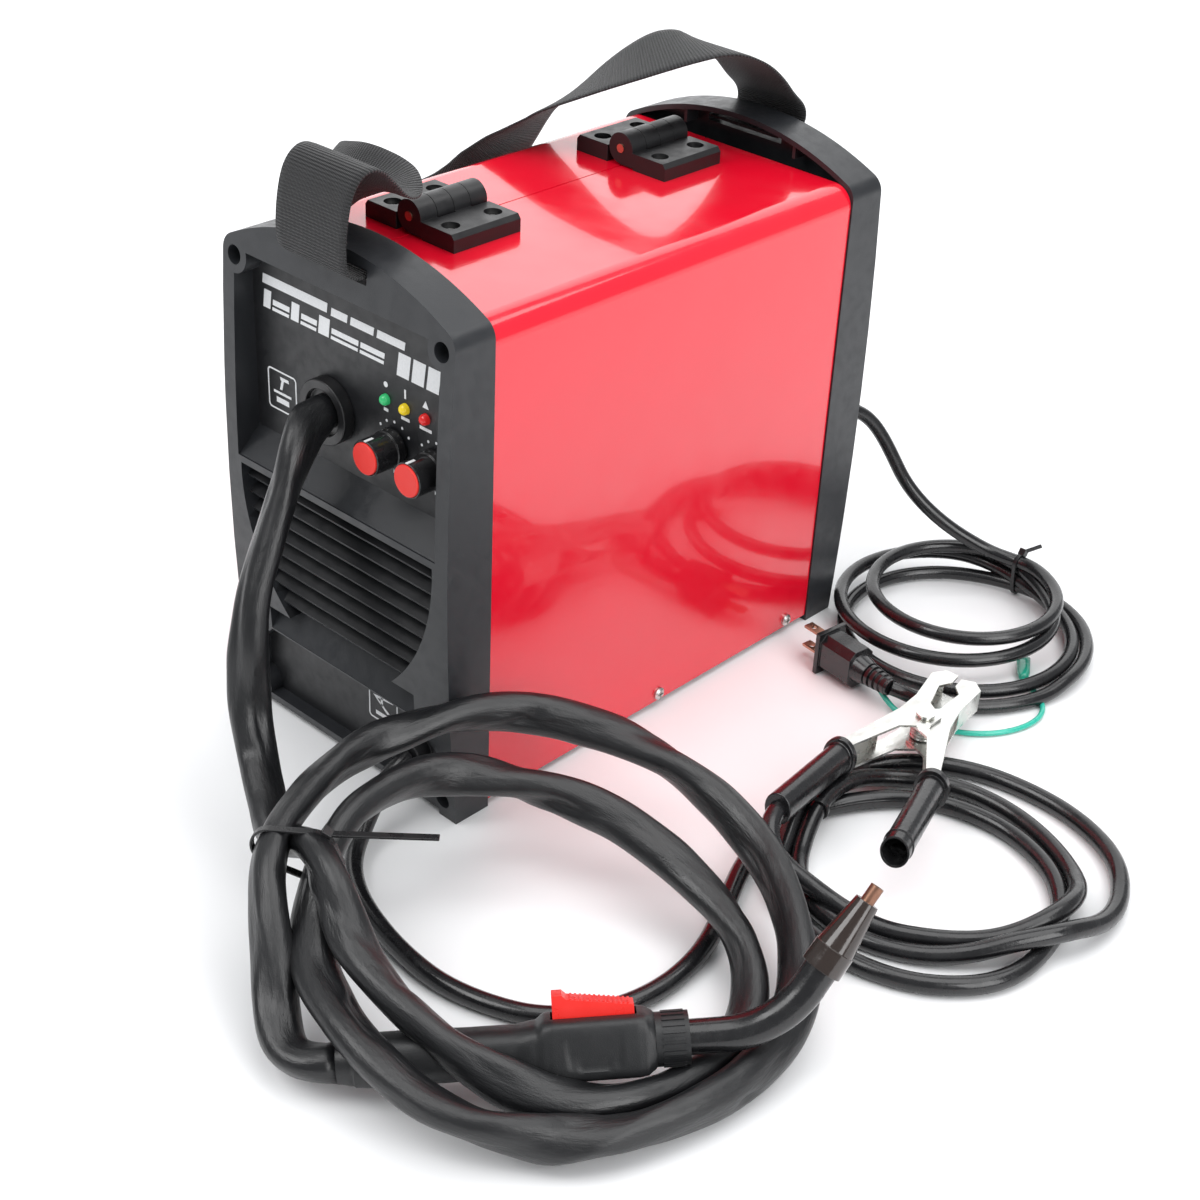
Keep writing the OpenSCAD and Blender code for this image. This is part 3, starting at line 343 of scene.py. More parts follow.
# ---------------------------------------------------------------- mesh helpers
def add_mesh(name, verts, faces, look, smooth=True, uvs=None):
    me = bpy.data.meshes.new(name)
    me.from_pydata([tuple(v) for v in verts], [], faces)
    me.validate()
    if uvs:
        layer = me.uv_layers.new(name="UVMap")
        for loop in me.loops:
            layer.data[loop.index].uv = uvs[loop.vertex_index]
    obj = bpy.data.objects.new(name, me)
    bpy.context.scene.collection.objects.link(obj)
    for p in me.polygons:
        p.use_smooth = smooth
    return dress(obj, look)


def tidy_normals(obj):
    b = bmesh.new()
    b.from_mesh(obj.data)
    bmesh.ops.recalc_face_normals(b, faces=b.faces[:])
    b.to_mesh(obj.data)
    b.free()


def shade(obj, degrees=32):
    """Smooth shading except over edges sharper than this."""
    me = obj.data
    b = bmesh.new()
    b.from_mesh(me)
    for f in b.faces:
        f.smooth = True
    for e in b.edges:
        e.smooth = len(e.link_faces) == 2 and e.calc_face_angle(0) < math.radians(degrees)
    b.to_mesh(me)
    b.free()


def softened(node, width, segments=2, degrees=30):
    """A copy of a hard CAD piece with its real edge rounding, standing for that piece."""
    src = NODES[node]
    me = src.data.copy()
    obj = bpy.data.objects.new(node + "_moulded", me)
    bpy.context.scene.collection.objects.link(obj)
    b = bmesh.new()
    b.from_mesh(me)
    bmesh.ops.remove_doubles(b, verts=b.verts[:], dist=1e-6)
    bmesh.ops.dissolve_limit(b, angle_limit=math.radians(0.8), verts=b.verts[:],
                             edges=b.edges[:])
    b.to_mesh(me)
    b.free()
    mod = obj.modifiers.new("edge", "BEVEL")
    mod.width = width
    mod.segments = segments
    mod.limit_method = "ANGLE"
    mod.angle_limit = math.radians(degrees)
    mod.use_clamp_overlap = True
    mod.harden_normals = False
    wn = obj.modifiers.new("flat", "WEIGHTED_NORMAL")
    wn.keep_sharp = False
    for p in me.polygons:
        p.use_smooth = True
    dress(obj, NODE_LOOK[node])
    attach(obj, BODY_OF[node])
    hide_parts(node)
    return obj


def lathe(name, profile, look, segments=64):
    """Turned solid about +Z from (radius, height) points, first and last on the axis or closed."""
    verts, faces = [], []
    for r, z in profile:
        for k in range(segments):
            a = 2 * math.pi * k / segments
            verts.append(Vector((r * math.cos(a), r * math.sin(a), z)))
    n = len(profile)
    for i in range(n - 1):
        for k in range(segments):
            a, c = i * segments + k, i * segments + (k + 1) % segments
            faces.append((a, c, c + segments, a + segments))
    faces.append(tuple(range(segments))[::-1])
    faces.append(tuple((n - 1) * segments + k for k in range(segments)))
    obj = add_mesh(name, verts, faces, look)
    shade(obj, 40)
    return obj


# ---------------------------------------------------------------- routes
def smooth_route(points, step=0.003, passes=10):
    """Evenly spaced points on a smooth curve through the given ones, ends kept."""
    pts = [Vector(p) for p in points]
    line = []
    for i in range(len(pts) - 1):
        p0, p1, p2, p3 = pts[max(i - 1, 0)], pts[i], pts[i + 1], pts[min(i + 2, len(pts) - 1)]
        n = max(2, int((p2 - p1).length / (step * 0.5)))
        for k in range(n):
            t = k / n
            line.append(0.5 * ((2 * p1) + (p2 - p0) * t + (2 * p0 - 5 * p1 + 4 * p2 - p3) * t * t
                               + (3 * p1 - p0 - 3 * p2 + p3) * t ** 3))
    line.append(pts[-1])
    out, need = [line[0]], step
    for a, b in zip(line, line[1:]):
        seg = (b - a).length
        while seg >= need and seg > 0:
            a = a + (b - a) * (need / seg)
            out.append(a)
            seg -= need
            need = step
        need -= seg
    out[-1] = line[-1]
    for _ in range(passes):
        out = [out[0], out[1]] + [
            (out[i - 1] + out[i] * 2 + out[i + 1]) / 4 for i in range(2, len(out) - 2)
        ] + [out[-2], out[-1]]
    return out


def length_of(line):
    return sum((b - a).length for a, b in zip(line, line[1:]))


def round_cord(name, line, radius, look):
    cu = bpy.data.curves.new(name, "CURVE")
    cu.dimensions = "3D"
    sp = cu.splines.new("POLY")
    sp.points.add(len(line) - 1)
    for p, v in zip(sp.points, line):
        p.co = (*v, 1)
    sp.use_smooth = True
    cu.bevel_depth = radius
    cu.bevel_resolution = 5
    cu.use_fill_caps = True
    obj = bpy.data.objects.new(name, cu)
    bpy.context.scene.collection.objects.link(obj)
    cu.materials.append(MAT[look])
    return obj


def frames_along(line, start=Vector((0, 0, 1))):
    """Tangent, side and up at each point, carried along without twist."""
    out, side = [], None
    for i, p in enumerate(line):
        t = (line[min(i + 1, len(line) - 1)] - line[max(i - 1, 0)]).normalized()
        side = t.cross(start) if side is None else side
        side = (side - t * side.dot(t)).normalized()
        out.append((t, side, side.cross(t)))
    return out


SLEEVE_FLATTENING = 0.165
SLEEVE_CRUMPLE = 0.11
SLEEVE_SEAM = 0.06
DEEPEST_DENT = 0.24
DENTS_PER_METRE = 75
METRES_PER_TWIST = 0.30
END_LENGTH = 0.012


def wrinkled_tube(name, line, radius, look, sides=36, seed=4):
    """A loose sleeve: flattened, slowly twisting, with a raised seam, creases and small dents."""
    rng = random.Random(seed)
    fr = frames_along(line)
    # crease waves: frequency along, phase, count round the tube, share
    waves = [(rng.uniform(25, 260), rng.uniform(0, 6.28), rng.randint(-2, 2),
              rng.uniform(0.3, 1.0)) for _ in range(16)]
    total = length_of(line)
    # dents: place along, angle, length, width in radians, depth as a share of the radius
    dents = [(rng.uniform(0.03, total), rng.uniform(0, 2 * math.pi), rng.uniform(0.005, 0.016),
              rng.uniform(0.22, 0.5), rng.uniform(0.08, 0.2))
             for _ in range(int(total * DENTS_PER_METRE))]
    verts, faces, uvs, s = [], [], [], 0.0
    for i, p in enumerate(line):
        if i:
            s += (line[i] - line[i - 1]).length
        _, side, up = fr[i]
        near = [d for d in dents if abs(s - d[0]) < 3 * d[2]]
        ends = min(1.0, s / END_LENGTH, max(0.0, total - s) / END_LENGTH)
        uneven = 0.12 * math.sin(s * 17) + 0.07 * math.sin(s * 41)
        twist = 2 * math.pi * (s / METRES_PER_TWIST + uneven)
        for k in range(sides):
            a = 2 * math.pi * k / sides
            flat = SLEEVE_FLATTENING * math.cos(2 * (a - twist))
            crumple = sum(w * math.sin(f * s + ph + m * a) for f, ph, m, w in waves) / 16
            seam = SLEEVE_SEAM * math.exp(-((math.sin((a - twist * 1.15) / 2) / 0.13) ** 2))
            pinch = 0.0
            for s0, a0, ds, da, deep in near:
                da_now = (a - a0 + math.pi) % (2 * math.pi) - math.pi
                pinch += deep * math.exp(-((s - s0) / ds) ** 2 - (da_now / da) ** 2)
            swell = flat + SLEEVE_CRUMPLE * crumple + seam - min(pinch, DEEPEST_DENT)
            r = radius * (0.965 + ends * swell)
            verts.append(p + side * (r * math.cos(a)) + up * (r * math.sin(a)))
            uvs.append((s, abs(k / sides - 0.5) * 2 * math.pi * radius))
    n = len(line)
    for i in range(n - 1):
        for k in range(sides):
            a, b = i * sides + k, i * sides + (k + 1) % sides
            faces.append((a, b, b + sides, a + sides))
    faces.append(tuple(range(sides))[::-1])
    faces.append(tuple((n - 1) * sides + k for k in range(sides)))
    obj = add_mesh(name, verts, faces, look, uvs=uvs)
    tidy_normals(obj)
    return obj


def step_between(a, a0, a1):
    """0 before a0, 1 after a1, smooth between; the angles may run either way."""
    t = max(0.0, min(1.0, (a - a0) / (a1 - a0)))
    return t * t * (3 - 2 * t)


# ---------------------------------------------------------------- torch lead
# Down from the gland, under the outer turn, once round inside, once round outside, to the handle.
TORCH_R = 9.6
TORCH_COIL_AT = (203, -216)
TORCH_COIL_SQUASH = 0.975
DROP = [(-16, -154, 202), (-14, -166, 202), (-8, -177, 196), (-5.5, -190, 176), (1, -209, 149),
        (6, -222, 130), (12, -231, 109), (15, -234, 86), (22, -238, 67), (36, -245, 54),
        (56, -256, 46.5), (78, -267, 46)]
# degrees round the coil, radius, lift off the coil's slope, share of the inner slope
WINDING = [
    (207, 118, -4, 0.5), (217, 103, 6, 1), (227, 95, 6, 1), (243, 87, 0, 1), (260, 82, 0, 1),
    (280, 81, 0, 1), (300, 84, 0, 1), (320, 89, 0, 1), (340, 93, 0, 1), (360, 97, 0, 1),
    (383, 102, 0, 1), (400, 101, 0, 1), (414, 97, 0, 1), (430, 90, 0, 1), (450, 84, 0, 1),
    (472, 83, 0, 1), (497, 86, 0, 1), (518, 94, 0, 1), (536, 101, 0, 1), (556, 104, 0, 1),
    (570, 105, -3, 0.7), (582, 106, -9, 0.3), (599, 106, -7, 0), (615, 104, -3, 0),
    (630, 105, 0, 0), (646, 107.5, 0, 0), (662, 109, 0, 0), (680, 109.5, 0, 0), (700, 111, 0, 0),
    (722, 116, 0, 0), (740, 121, 0, 0), (757, 124, 0, 0), (780, 124, 0, 0), (800, 125, 0, 0),
    (820, 126, 2, 0), (840, 126.5, 5, 0), (860, 126.5, 8, 0), (876, 126.5, 8, 0),
    (894, 128, 6, 0), (912, 130, 4, 0), (926, 130, 4, 0), (936, 129, 3, 0),
]
TAIL = [(114, -303, 53), (125, -311, 45), (138, -319.5, 34), (150, -328, 24), (161, -335, 17),
        (172, -336.5, 14.5), (180.5, -331.5, 15.9), (187.1, -324.7, 16.8)]


def torch_level(x, y, inner):
    """Height of the leaning coil: its outer and inner turns lie on two slightly tilted planes."""
    outer_z = 38.7 - 0.23 * (x - 203) + 0.055 * (y + 216)
    inner_z = 38.6 - 0.29 * (x - 201)
    return outer_z + (inner_z - outer_z) * inner


def torch_coil():
    out = []
    for a, r, lift, inner in WINDING:
        x = TORCH_COIL_AT[0] + r * TORCH_COIL_SQUASH * math.cos(math.radians(a))
        y = TORCH_COIL_AT[1] + r * math.sin(math.radians(a))
        out.append((x, y, max(10.0, torch_level(x, y, inner) + lift)))
    return out


torch_line = smooth_route([mm(*p) for p in DROP + torch_coil() + TAIL], 0.0028, 14)
torch_lead = wrinkled_tube("torch_lead_sleeve", torch_line, TORCH_R * MM, "sleeve")
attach(torch_lead, "machine")
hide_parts("torch_lead", "torch_coils")

# ---------------------------------------------------------------- earth lead
# Along the floor from the gland, three loose turns gathered at the left, up into the clamp's grip.
EARTH_R = 5.0
EARTH_COIL_AT = (286, -8)
EARTH_RUN = [(57, -167, 33.6), (58, -178, 31), (60, -190, 22), (65, -205, 10), (76, -221, 5.2),
             (97, -235, 5.1), (120, -243, 5.1), (145, -248, 5.1), (172, -249, 5.1),
             (197, -243, 5.1), (220, -231, 5.1), (238, -208, 5.1), (246, -178, 5.1),
             (243, -145, 5.1), (230, -112, 5.1), (215, -80, 5.1)]
# degrees round the coil, radius, height
EARTH_WINDING = [
    (205, 88, 5.1), (190, 77, 5.1), (172, 68, 5.1), (150, 61, 5.1), (125, 56, 5.1), (95, 53, 5.1),
    (65, 54, 5.1), (38, 59, 5.1), (12, 66, 5.1), (-8, 72, 5.1), (-25, 80, 5.1), (-42, 86, 5.1),
    (-65, 89, 5.1), (-90, 89, 5.1), (-115, 87, 5.1), (-135, 83, 5.8), (-150, 79, 9),
    (-158, 79, 14.5), (-172, 80, 15.6), (-190, 86, 9), (-205, 91, 5.1), (-225, 92, 5.1),
    (-250, 91, 5.1), (-275, 91, 5.1), (-295, 93, 5.1), (-312, 94, 5.1), (-330, 91, 5.1),
    (-345, 86, 8), (-358, 80, 14), (-370, 75, 15.6), (-385, 69, 13.5), (-402, 67, 8),
    (-425, 69, 5.1), (-450, 73, 5.1), (-475, 75, 5.1), (-495, 72.5, 5.1), (-511, 70, 9),
    (-525, 69.5, 15), (-540, 71, 15.5), (-555, 75, 12.5), (-572, 77, 7), (-590, 75, 5.1),
    (-610, 71, 5.1), (-632, 67, 5.1), (-655, 66, 5.1), (-675, 68, 6), (-692, 70, 10.5),
    (-708, 69, 15.3), (-722, 66, 15), (-737, 62, 11), (-752, 57.5, 7), (-770, 54.5, 5.1),
    (-788, 56, 5.1), (-804, 60, 5.4),
]
EARTH_TAIL = [(269, -72, 8.5), (258, -76, 14.5), (248, -79, 19), (239, -81, 23.5), (231, -80, 28.5),
              (224.5, -74.5, 32.6), (220.6, -67, 34.6), (219.1, -61.2, 34.5), (217.2, -49.5, 33.3)]


def earth_coil():
    cx, cy = EARTH_COIL_AT
    return [(cx + r * math.cos(math.radians(a)), cy + r * math.sin(math.radians(a)), z)
            for a, r, z in EARTH_WINDING]


earth_line = smooth_route([mm(*p) for p in EARTH_RUN + earth_coil() + EARTH_TAIL], 0.003, 10)
earth_lead = round_cord("earth_lead_cable", earth_line, EARTH_R * MM, "rubber")
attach(earth_lead, "machine")
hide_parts("earth_lead", "earth_coils")

# ---------------------------------------------------------------- mains cord
MAINS_R = 4.2
MAINS_DROP = [(56, 184, 118), (60, 194, 116), (66, 203, 110), (73, 210, 98), (80, 215, 84),
              (88, 220, 68), (100, 226, 54), (114, 234, 42), (128, 244, 32), (141, 253, 25)]
MAINS_END = [(236.5, 172, 4.3), (231.5, 155, 4.3), (224, 141, 4.3), (214, 128.5, 4.3),
             (204, 119.5, 4.3), (195.5, 112.5, 4.5), (188.5, 106.2, 7.4), (182.3, 100.5, 11.6),
             (176.5, 96.8, 13.7)]
# centre, height and radius of each layer, and the angles it is wound between
LAYERS = [(152, 203, 23.8, 56), (146, 195, 15.0, 65), (160, 188, 6.2, 69), (160, 188, 5.0, 78)]
MAINS_START, MAINS_STOP, MAINS_STEPS = 80, -1082, 82
MAINS_LEAN = 0.027


def mains_state(a):
    """Centre, height and radius after winding clockwise to angle a, layer by layer."""
    here = list(LAYERS[0])
    for i, nxt in enumerate(LAYERS[1:]):
        t = step_between(a, 120 - 360 * (i + 1), 50 - 360 * (i + 1))
        here = [h + (n - h) * t for h, n in zip(here, nxt)]
    return here


def mains_coil():
    out = []
    for k in range(MAINS_STEPS + 1):
        a = MAINS_START + (MAINS_STOP - MAINS_START) * k / MAINS_STEPS
        cx, cy, z, r = mains_state(a)
        x, y = cx + r * math.cos(math.radians(a)), cy + r * math.sin(math.radians(a))
        out.append((x, y, z + MAINS_LEAN * (x - cx)))
    return out


mains_line = smooth_route([mm(*p) for p in MAINS_DROP + mains_coil() + MAINS_END], 0.003, 8)
mains_cord = round_cord("mains_cord_jacket", mains_line, MAINS_R * MM, "rubber")
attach(mains_cord, "machine")
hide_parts("mains_cord", "mains_coils")

# ---------------------------------------------------------------- bonding wire
BOND_R = 1.6
BOND_RUN = [(168, 98, 8.3), (175, 96, 5.2), (184, 94, 2.6), (196, 95, 1.7), (210, 99, 1.7),
            (224, 107, 1.7), (236, 120, 1.7), (243, 136, 1.7), (244, 152, 1.7),
            (238, 164, 1.7), (228, 171, 1.7), (216, 177, 2.6)]
bond_line = smooth_route([mm(*p) for p in BOND_RUN], 0.003, 4)
bond_wire = round_cord("bonding_wire_jacket", bond_line, BOND_R * MM, "bond")
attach(bond_wire, "machine")
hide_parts("bonding_wire")


def bond_sleeve():
    """Flat-ended clear sleeve over the wire's terminal, pinched at its mouth."""
    stations = [(-1.0, 2.4, 2.2), (1.5, 3.0, 2.7), (5, 3.8, 2.9), (12, 4.0, 3.0), (18, 4.2, 2.4),
                (22, 4.3, 1.5)]
    verts, faces, sides = [], [], 24
    for x, a, b in stations:
        for k in range(sides):
            t = 2 * math.pi * k / sides
            verts.append(Vector((x, a * math.cos(t), b * math.sin(t))) * MM)
    for i in range(len(stations) - 1):
        for k in range(sides):
            p, q = i * sides + k, i * sides + (k + 1) % sides
            faces.append((p, q, q + sides, p + sides))
    faces.append(tuple(range(sides))[::-1])
    faces.append(tuple((len(stations) - 1) * sides + k for k in range(sides)))
    obj = add_mesh("bonding_sleeve", verts, faces, "bond_sleeve")
    tidy_normals(obj)
    obj.data.transform(placed((216, 177, 3.2), (124, "Z")))
    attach(obj, "machine")
    return obj


bond_end = bond_sleeve()

# ---------------------------------------------------------------- cable ties
def cable_tie(name, strands, radius, centre, yaw, lean, reach, head, width, tail):
    """A band drawn tight round every strand that crosses its plane near the centre."""
    across = Vector((math.cos(math.radians(yaw)), math.sin(math.radians(yaw)), 0))
    along = Vector((-math.sin(math.radians(yaw)), math.cos(math.radians(yaw)), 0))
    turn = Matrix.Rotation(math.radians(lean), 3, along)
    u, v = turn @ across, turn @ Vector((0, 0, 1))
    n, o = u.cross(v), mm(*centre)
    held = []
    for a, b in zip(strands, strands[1:]):
        p, q = (a - o).dot(n), (b - o).dot(n)
        if p * q <= 0 and p != q:
            c = a.lerp(b, p / (p - q)) - o
            if c.length < reach * MM:
                held.append((c.dot(u), c.dot(v)))
    verts, faces, count = [], [], 96
    for k in range(count):
        t = 2 * math.pi * k / count
        d = (math.cos(t), math.sin(t))
        best = max(held, key=lambda h: h[0] * d[0] + h[1] * d[1])
        for gap, side in ((0.1, -1), (0.1, 1), (1.3, 1), (1.3, -1)):
            g = (radius + gap) * MM
            verts.append(o + u * (best[0] + d[0] * g) + v * (best[1] + d[1] * g)
                         + n * (side * width / 2 * MM))
    for k in range(count):
        a, b = 4 * k, 4 * ((k + 1) % count)
        faces += [(a + j, a + (j + 1) % 4, b + (j + 1) % 4, b + j) for j in range(4)]
    t = math.radians(head)
    d = (math.cos(t), math.sin(t))
    best = max(held, key=lambda h: h[0] * d[0] + h[1] * d[1])
    g = (radius + 2.4) * MM
    place = o + u * (best[0] + d[0] * g) + v * (best[1] + d[1] * g)
    out, side = u * d[0] + v * d[1], u * -d[1] + v * d[0]

    def block(at, x, y, z, half):
        base = len(verts)
        for sx in (-1, 1):
            for sy in (-1, 1):
                for sz in (-1, 1):
                    verts.append(at + x * (sx * half[0] * MM) + y * (sy * half[1] * MM)
                                 + z * (sz * half[2] * MM))
        faces.extend(tuple(base + i for i in f) for f in BOX_FACES)

    block(place, out, side, n, (2.2, 2.4, width / 2 + 0.9))
    free = Vector(tail[:3]).normalized()
    flat = free.cross(n).normalized()
    block(place + free * (tail[3] / 2 * MM), free, flat, flat.cross(free),
          (tail[3] / 2, 0.6, width / 2))
    obj = add_mesh(name, verts, faces, "tie", smooth=False)
    tidy_normals(obj)
    bevel = obj.modifiers.new("edge", "BEVEL")
    bevel.width, bevel.segments = 0.0003, 2
    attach(obj, "machine")
    return obj


ties = [
    cable_tie("torch_tie", torch_line, TORCH_R, (108.6, -277.3, 57.5), 33, 0, 40, 60, 4,
              (0.74, 0.67, 0.02, 52)),
    cable_tie("earth_tie", earth_line, EARTH_R, (211, -27, 9), 20, 0, 18, 95, 3,
              (0.3, -0.9, 0.25, 14)),
    cable_tie("mains_tie", mains_line, MAINS_R, (156, 261, 14.6), 88, 0, 24, 60, 2.5,
              (0.5, 0.6, 0.3, 12)),
]
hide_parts("cable_ties")

# ---------------------------------------------------------------- strap
STRAP = [
    (-4, -146, 287, 1, 0, 0), (-4, -167, 287.5, 1, 0, 0), (-4, -170, 300, 1, 0, 0),
    (-4, -168, 318, 1, 0, 0), (-4, -163, 332, 1, 0, 0), (-4, -153, 338, 1, 0, 0),
    (-5, -142, 332, 1, 0, 0), (-8, -133, 320, 0.98, 0.05, 0.15),
    (-15, -123, 310, 0.9, 0.2, 0.35), (-27, -113, 304, 0.65, 0.5, 0.5),
    (-44, -109, 300, 0.35, 0.65, 0.62), (-66, -109, 298, 0.1, 0.75, 0.62),
    (-86, -102, 290, -0.1, 0.8, 0.55), (-98, -88, 270, 0.1, 0.75, 0.6),
    (-100, -68, 254, 0.1, 0.4, 0.9), (-97, -45, 245, 0.05, 0, 1), (-95, -20, 243, 0, 0, 1),
    (-95, 5, 247, 0, -0.3, 0.95), (-96, 26, 258, 0.1, -0.6, 0.8),
    (-90, 42, 275, 0.3, -0.75, 0.6), (-76, 54, 295, 0.6, -0.7, 0.4),
    (-56, 66, 312, 0.75, -0.6, 0.25), (-38, 80, 326, 0.87, -0.47, 0.1),
    (-22, 96, 336, 0.95, -0.3, 0), (-10, 114, 338, 1, 0, 0), (-5, 132, 331, 1, 0, 0),
    (-4, 147, 320, 1, 0, 0), (-4, 158, 309, 1, 0, 0), (-4, 168, 301, 1, 0, 0),
    (-4, 171, 293, 1, 0, 0), (-4, 167, 287.5, 1, 0, 0), (-4, 146, 287, 1, 0, 0),
]


def strap_mesh(width=50.0, thick=1.7, across=12):
    line = smooth_route([mm(*p[:3]) for p in STRAP], 0.0025, 6)
    keys, s = [0.0], 0.0
    for a, b in zip(STRAP, STRAP[1:]):
        s += (mm(*b[:3]) - mm(*a[:3])).length
        keys.append(s)
    total, verts, faces, uvs, run = keys[-1], [], [], [], 0.0
    full = length_of(line)
    for i, p in enumerate(line):
        if i:
            run += (p - line[i - 1]).length
        at = run / full * total
        j = max(k for k in range(len(keys)) if keys[k] <= at + 1e-9)
        j = min(j, len(keys) - 2)
        f = (at - keys[j]) / (keys[j + 1] - keys[j])
        w = Vector(STRAP[j][3:]).lerp(Vector(STRAP[j + 1][3:]), f)
        t = (line[min(i + 1, len(line) - 1)] - line[max(i - 1, 0)]).normalized()
        w = (w - t * w.dot(t)).normalized()
        n = t.cross(w)
        for side in (1, -1):
            for k in range(across + 1):
                u = k / across - 0.5
                edge = 1 - 0.35 * max(0.0, abs(u) - 0.44) / 0.06
                cup = 0.35 * math.cos(math.pi * u) * math.sin(9 * run / full * 6.28 / 2)
                verts.append(p + w * (u * width * MM) + n * ((side * thick / 2 * edge + cup) * MM))
                uvs.append((run, (u + 0.5) * width * MM))
    ring = 2 * (across + 1)
    for i in range(len(line) - 1):
        a = i * ring
        for k in range(across):
            faces.append((a + k, a + k + 1, a + ring + k + 1, a + ring + k))
            b = a + across + 1
            faces.append((b + k + 1, b + k, b + ring + k, b + ring + k + 1))
        faces.append((a, a + ring, a + ring + across + 1, a + across + 1))
        e = across
        faces.append((a + e + across + 1, a + ring + e + across + 1, a + ring + e, a + e))
    for a in (0, (len(line) - 1) * ring):
        for k in range(across):
            faces.append((a + k, a + k + 1, a + across + 2 + k, a + across + 1 + k))
    obj = add_mesh("carry_strap_webbing", verts, faces, "webbing", uvs=uvs)
    tidy_normals(obj)
    return obj, full


strap, strap_length = strap_mesh()
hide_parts("carry_strap")
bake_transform(strap)

# ---------------------------------------------------------------- studio
def area_light(name, size, watts, place, aim):
    li = bpy.data.lights.new(name, "AREA")
    li.shape = "RECTANGLE"
    li.size, li.size_y = size
    li.energy = watts
    ob = bpy.data.objects.new(name, li)
    ob.location = place
    ob.rotation_euler = (Vector(aim) - Vector(place)).to_track_quat("-Z", "Y").to_euler()
    ob.visible_camera = False
    bpy.context.scene.collection.objects.link(ob)


def studio():
    m, t, s = new_material("floor_paper")
    v = coordinates(t)
    t.links.new(mix_colour(t, noise(t, v, 3, 3), (0.86, 0.865, 0.875), (0.90, 0.903, 0.91)),
                s.inputs["Base Color"])
    t.links.new(ramp(t, noise(t, v, 40, 4), 0.38, 0.5), s.inputs["Roughness"])
    MAT["floor"] = m
    h = FLOOR_HALF
    verts = [Vector((x, y, -FLOOR_DROP)) for x, y in ((-h, -h), (h, -h), (h, h), (-h, h))]
    add_mesh("studio_floor", verts, [(0, 1, 2, 3)], "floor", smooth=False)
    for name, (size, watts, place, aim) in LIGHTS.items():
        area_light(name, size, watts, place, aim)
    w = bpy.context.scene.world or bpy.data.worlds.new("World")
    bpy.context.scene.world = w
    w.use_nodes = True
    w.node_tree.nodes["Background"].inputs["Color"].default_value = SKY_COLOUR
    w.node_tree.nodes["Background"].inputs["Strength"].default_value = SKY_STRENGTH
    bpy.context.scene.view_settings.view_transform = "Standard"


def camera():
    az, el = math.radians(CAMERA_AZIMUTH), math.radians(CAMERA_ELEVATION)
    roll = math.radians(CAMERA_ROLL)
    back = Vector((math.sin(az) * math.cos(el), -math.cos(az) * math.cos(el), math.sin(el)))
    right = Vector((math.cos(az), math.sin(az), 0))
    up = back.cross(right)
    r = right * math.cos(roll) + up * math.sin(roll)
    u = up * math.cos(roll) - right * math.sin(roll)
    data = bpy.data.cameras.new("camera")
    data.lens, data.sensor_width = LENS_MM, SENSOR_MM
    data.clip_start, data.clip_end = 0.05, 50
    cam = bpy.data.objects.new("camera", data)
    rot = Matrix((r, u, back)).transposed()
    cam.matrix_world = Matrix.Translation(CAMERA_AT) @ rot.to_4x4()
    bpy.context.scene.collection.objects.link(cam)
    bpy.context.scene.camera = cam


# mm: the recess floors lie just in front of FLOOR_Y, and the louvres fill a window below them
RECESS_HALF, RECESS_Y = 74, (-151.3, -148)
LOUVRE_HALF, LOUVRE_Y, LOUVRE_Z = 72, (-159, -140), (66, 158)


def dark_panel_and_recess_shade(obj):
    """The control panel is darker plastic than the frame around it; the lower recess and the
    louvres take the same dark material as painted shade.
    """
    obj.data.materials.append(MAT["panel"])
    for f in obj.data.polygons:
        x, y, z = f.center * 1000
        floor = abs(x) < RECESS_HALF and RECESS_Y[0] < y < RECESS_Y[1]
        painted_slat_shade = (abs(x) < LOUVRE_HALF and LOUVRE_Y[0] < y < LOUVRE_Y[1]
                 and LOUVRE_Z[0] < z < LOUVRE_Z[1])
        # painted shade: the lower recess floor and the louvre slats are darkened where shade falls;
        # the control panel floor keeps its own darker plastic
        if floor or painted_slat_shade:
            f.material_index = 1


GRIP_NARROWING = 0.82


def flatten_grip(obj, side):
    """The vinyl sleeve is pulled over a channel, so it is narrower across the jaws than deep."""
    pose = (placed(CLAMP_AT, (CLAMP_YAW, "Z"), (CLAMP_TILT, "X"))
            @ placed((side * GRIP_X, GRIP_Y, 0), (side * GRIP_SPLAY, "Z")))
    squeeze = Matrix.Diagonal((GRIP_NARROWING, 1, 1, 1))
    obj.data.transform(pose @ squeeze @ pose.inverted())


studio()
camera()

# ---------------------------------------------------------------- moulded pieces
for node_name, width, segments in (
        ("front_bezel", 0.0011, 3), ("rear_bezel", 0.0011, 3), ("hinge_fixed_leaves", 0.0006, 2),
        ("hinge_door_leaves", 0.0006, 2), ("torch_gland", 0.0007, 3), ("earth_gland", 0.0007, 3),
        ("voltage_knob", 0.0007, 3), ("speed_knob", 0.0007, 3), ("voltage_knob_cap", 0.0005, 2),
        ("speed_knob_cap", 0.0005, 2), ("torch_collar", 0.0004, 2), ("torch_nozzle", 0.0005, 3),
        ("clamp_fixed_jaw", 0.0003, 2), ("clamp_moving_jaw", 0.0003, 2),
        ("clamp_fixed_grip", 0.0009, 3), ("clamp_moving_grip", 0.0009, 3),
        ("plug_body", 0.0008, 3), ("rubber_feet", 0.0005, 2), ("door_latch", 0.0005, 2),
        ("torch_trigger", 0.0004, 2), ("cord_gland", 0.0005, 2)):
    piece = softened(node_name, width, segments)
    if node_name == "front_bezel":
        dark_panel_and_recess_shade(piece)
    if node_name in ("clamp_fixed_grip", "clamp_moving_grip"):
        flatten_grip(piece, -1 if node_name == "clamp_fixed_grip" else 1)

# ---------------------------------------------------------------- torch handle
TORCH_POSE = placed(TORCH_AT, (TORCH_YAW, "Z"), (-TORCH_RISE, "Y"), (-TORCH_LEAN, "X"))
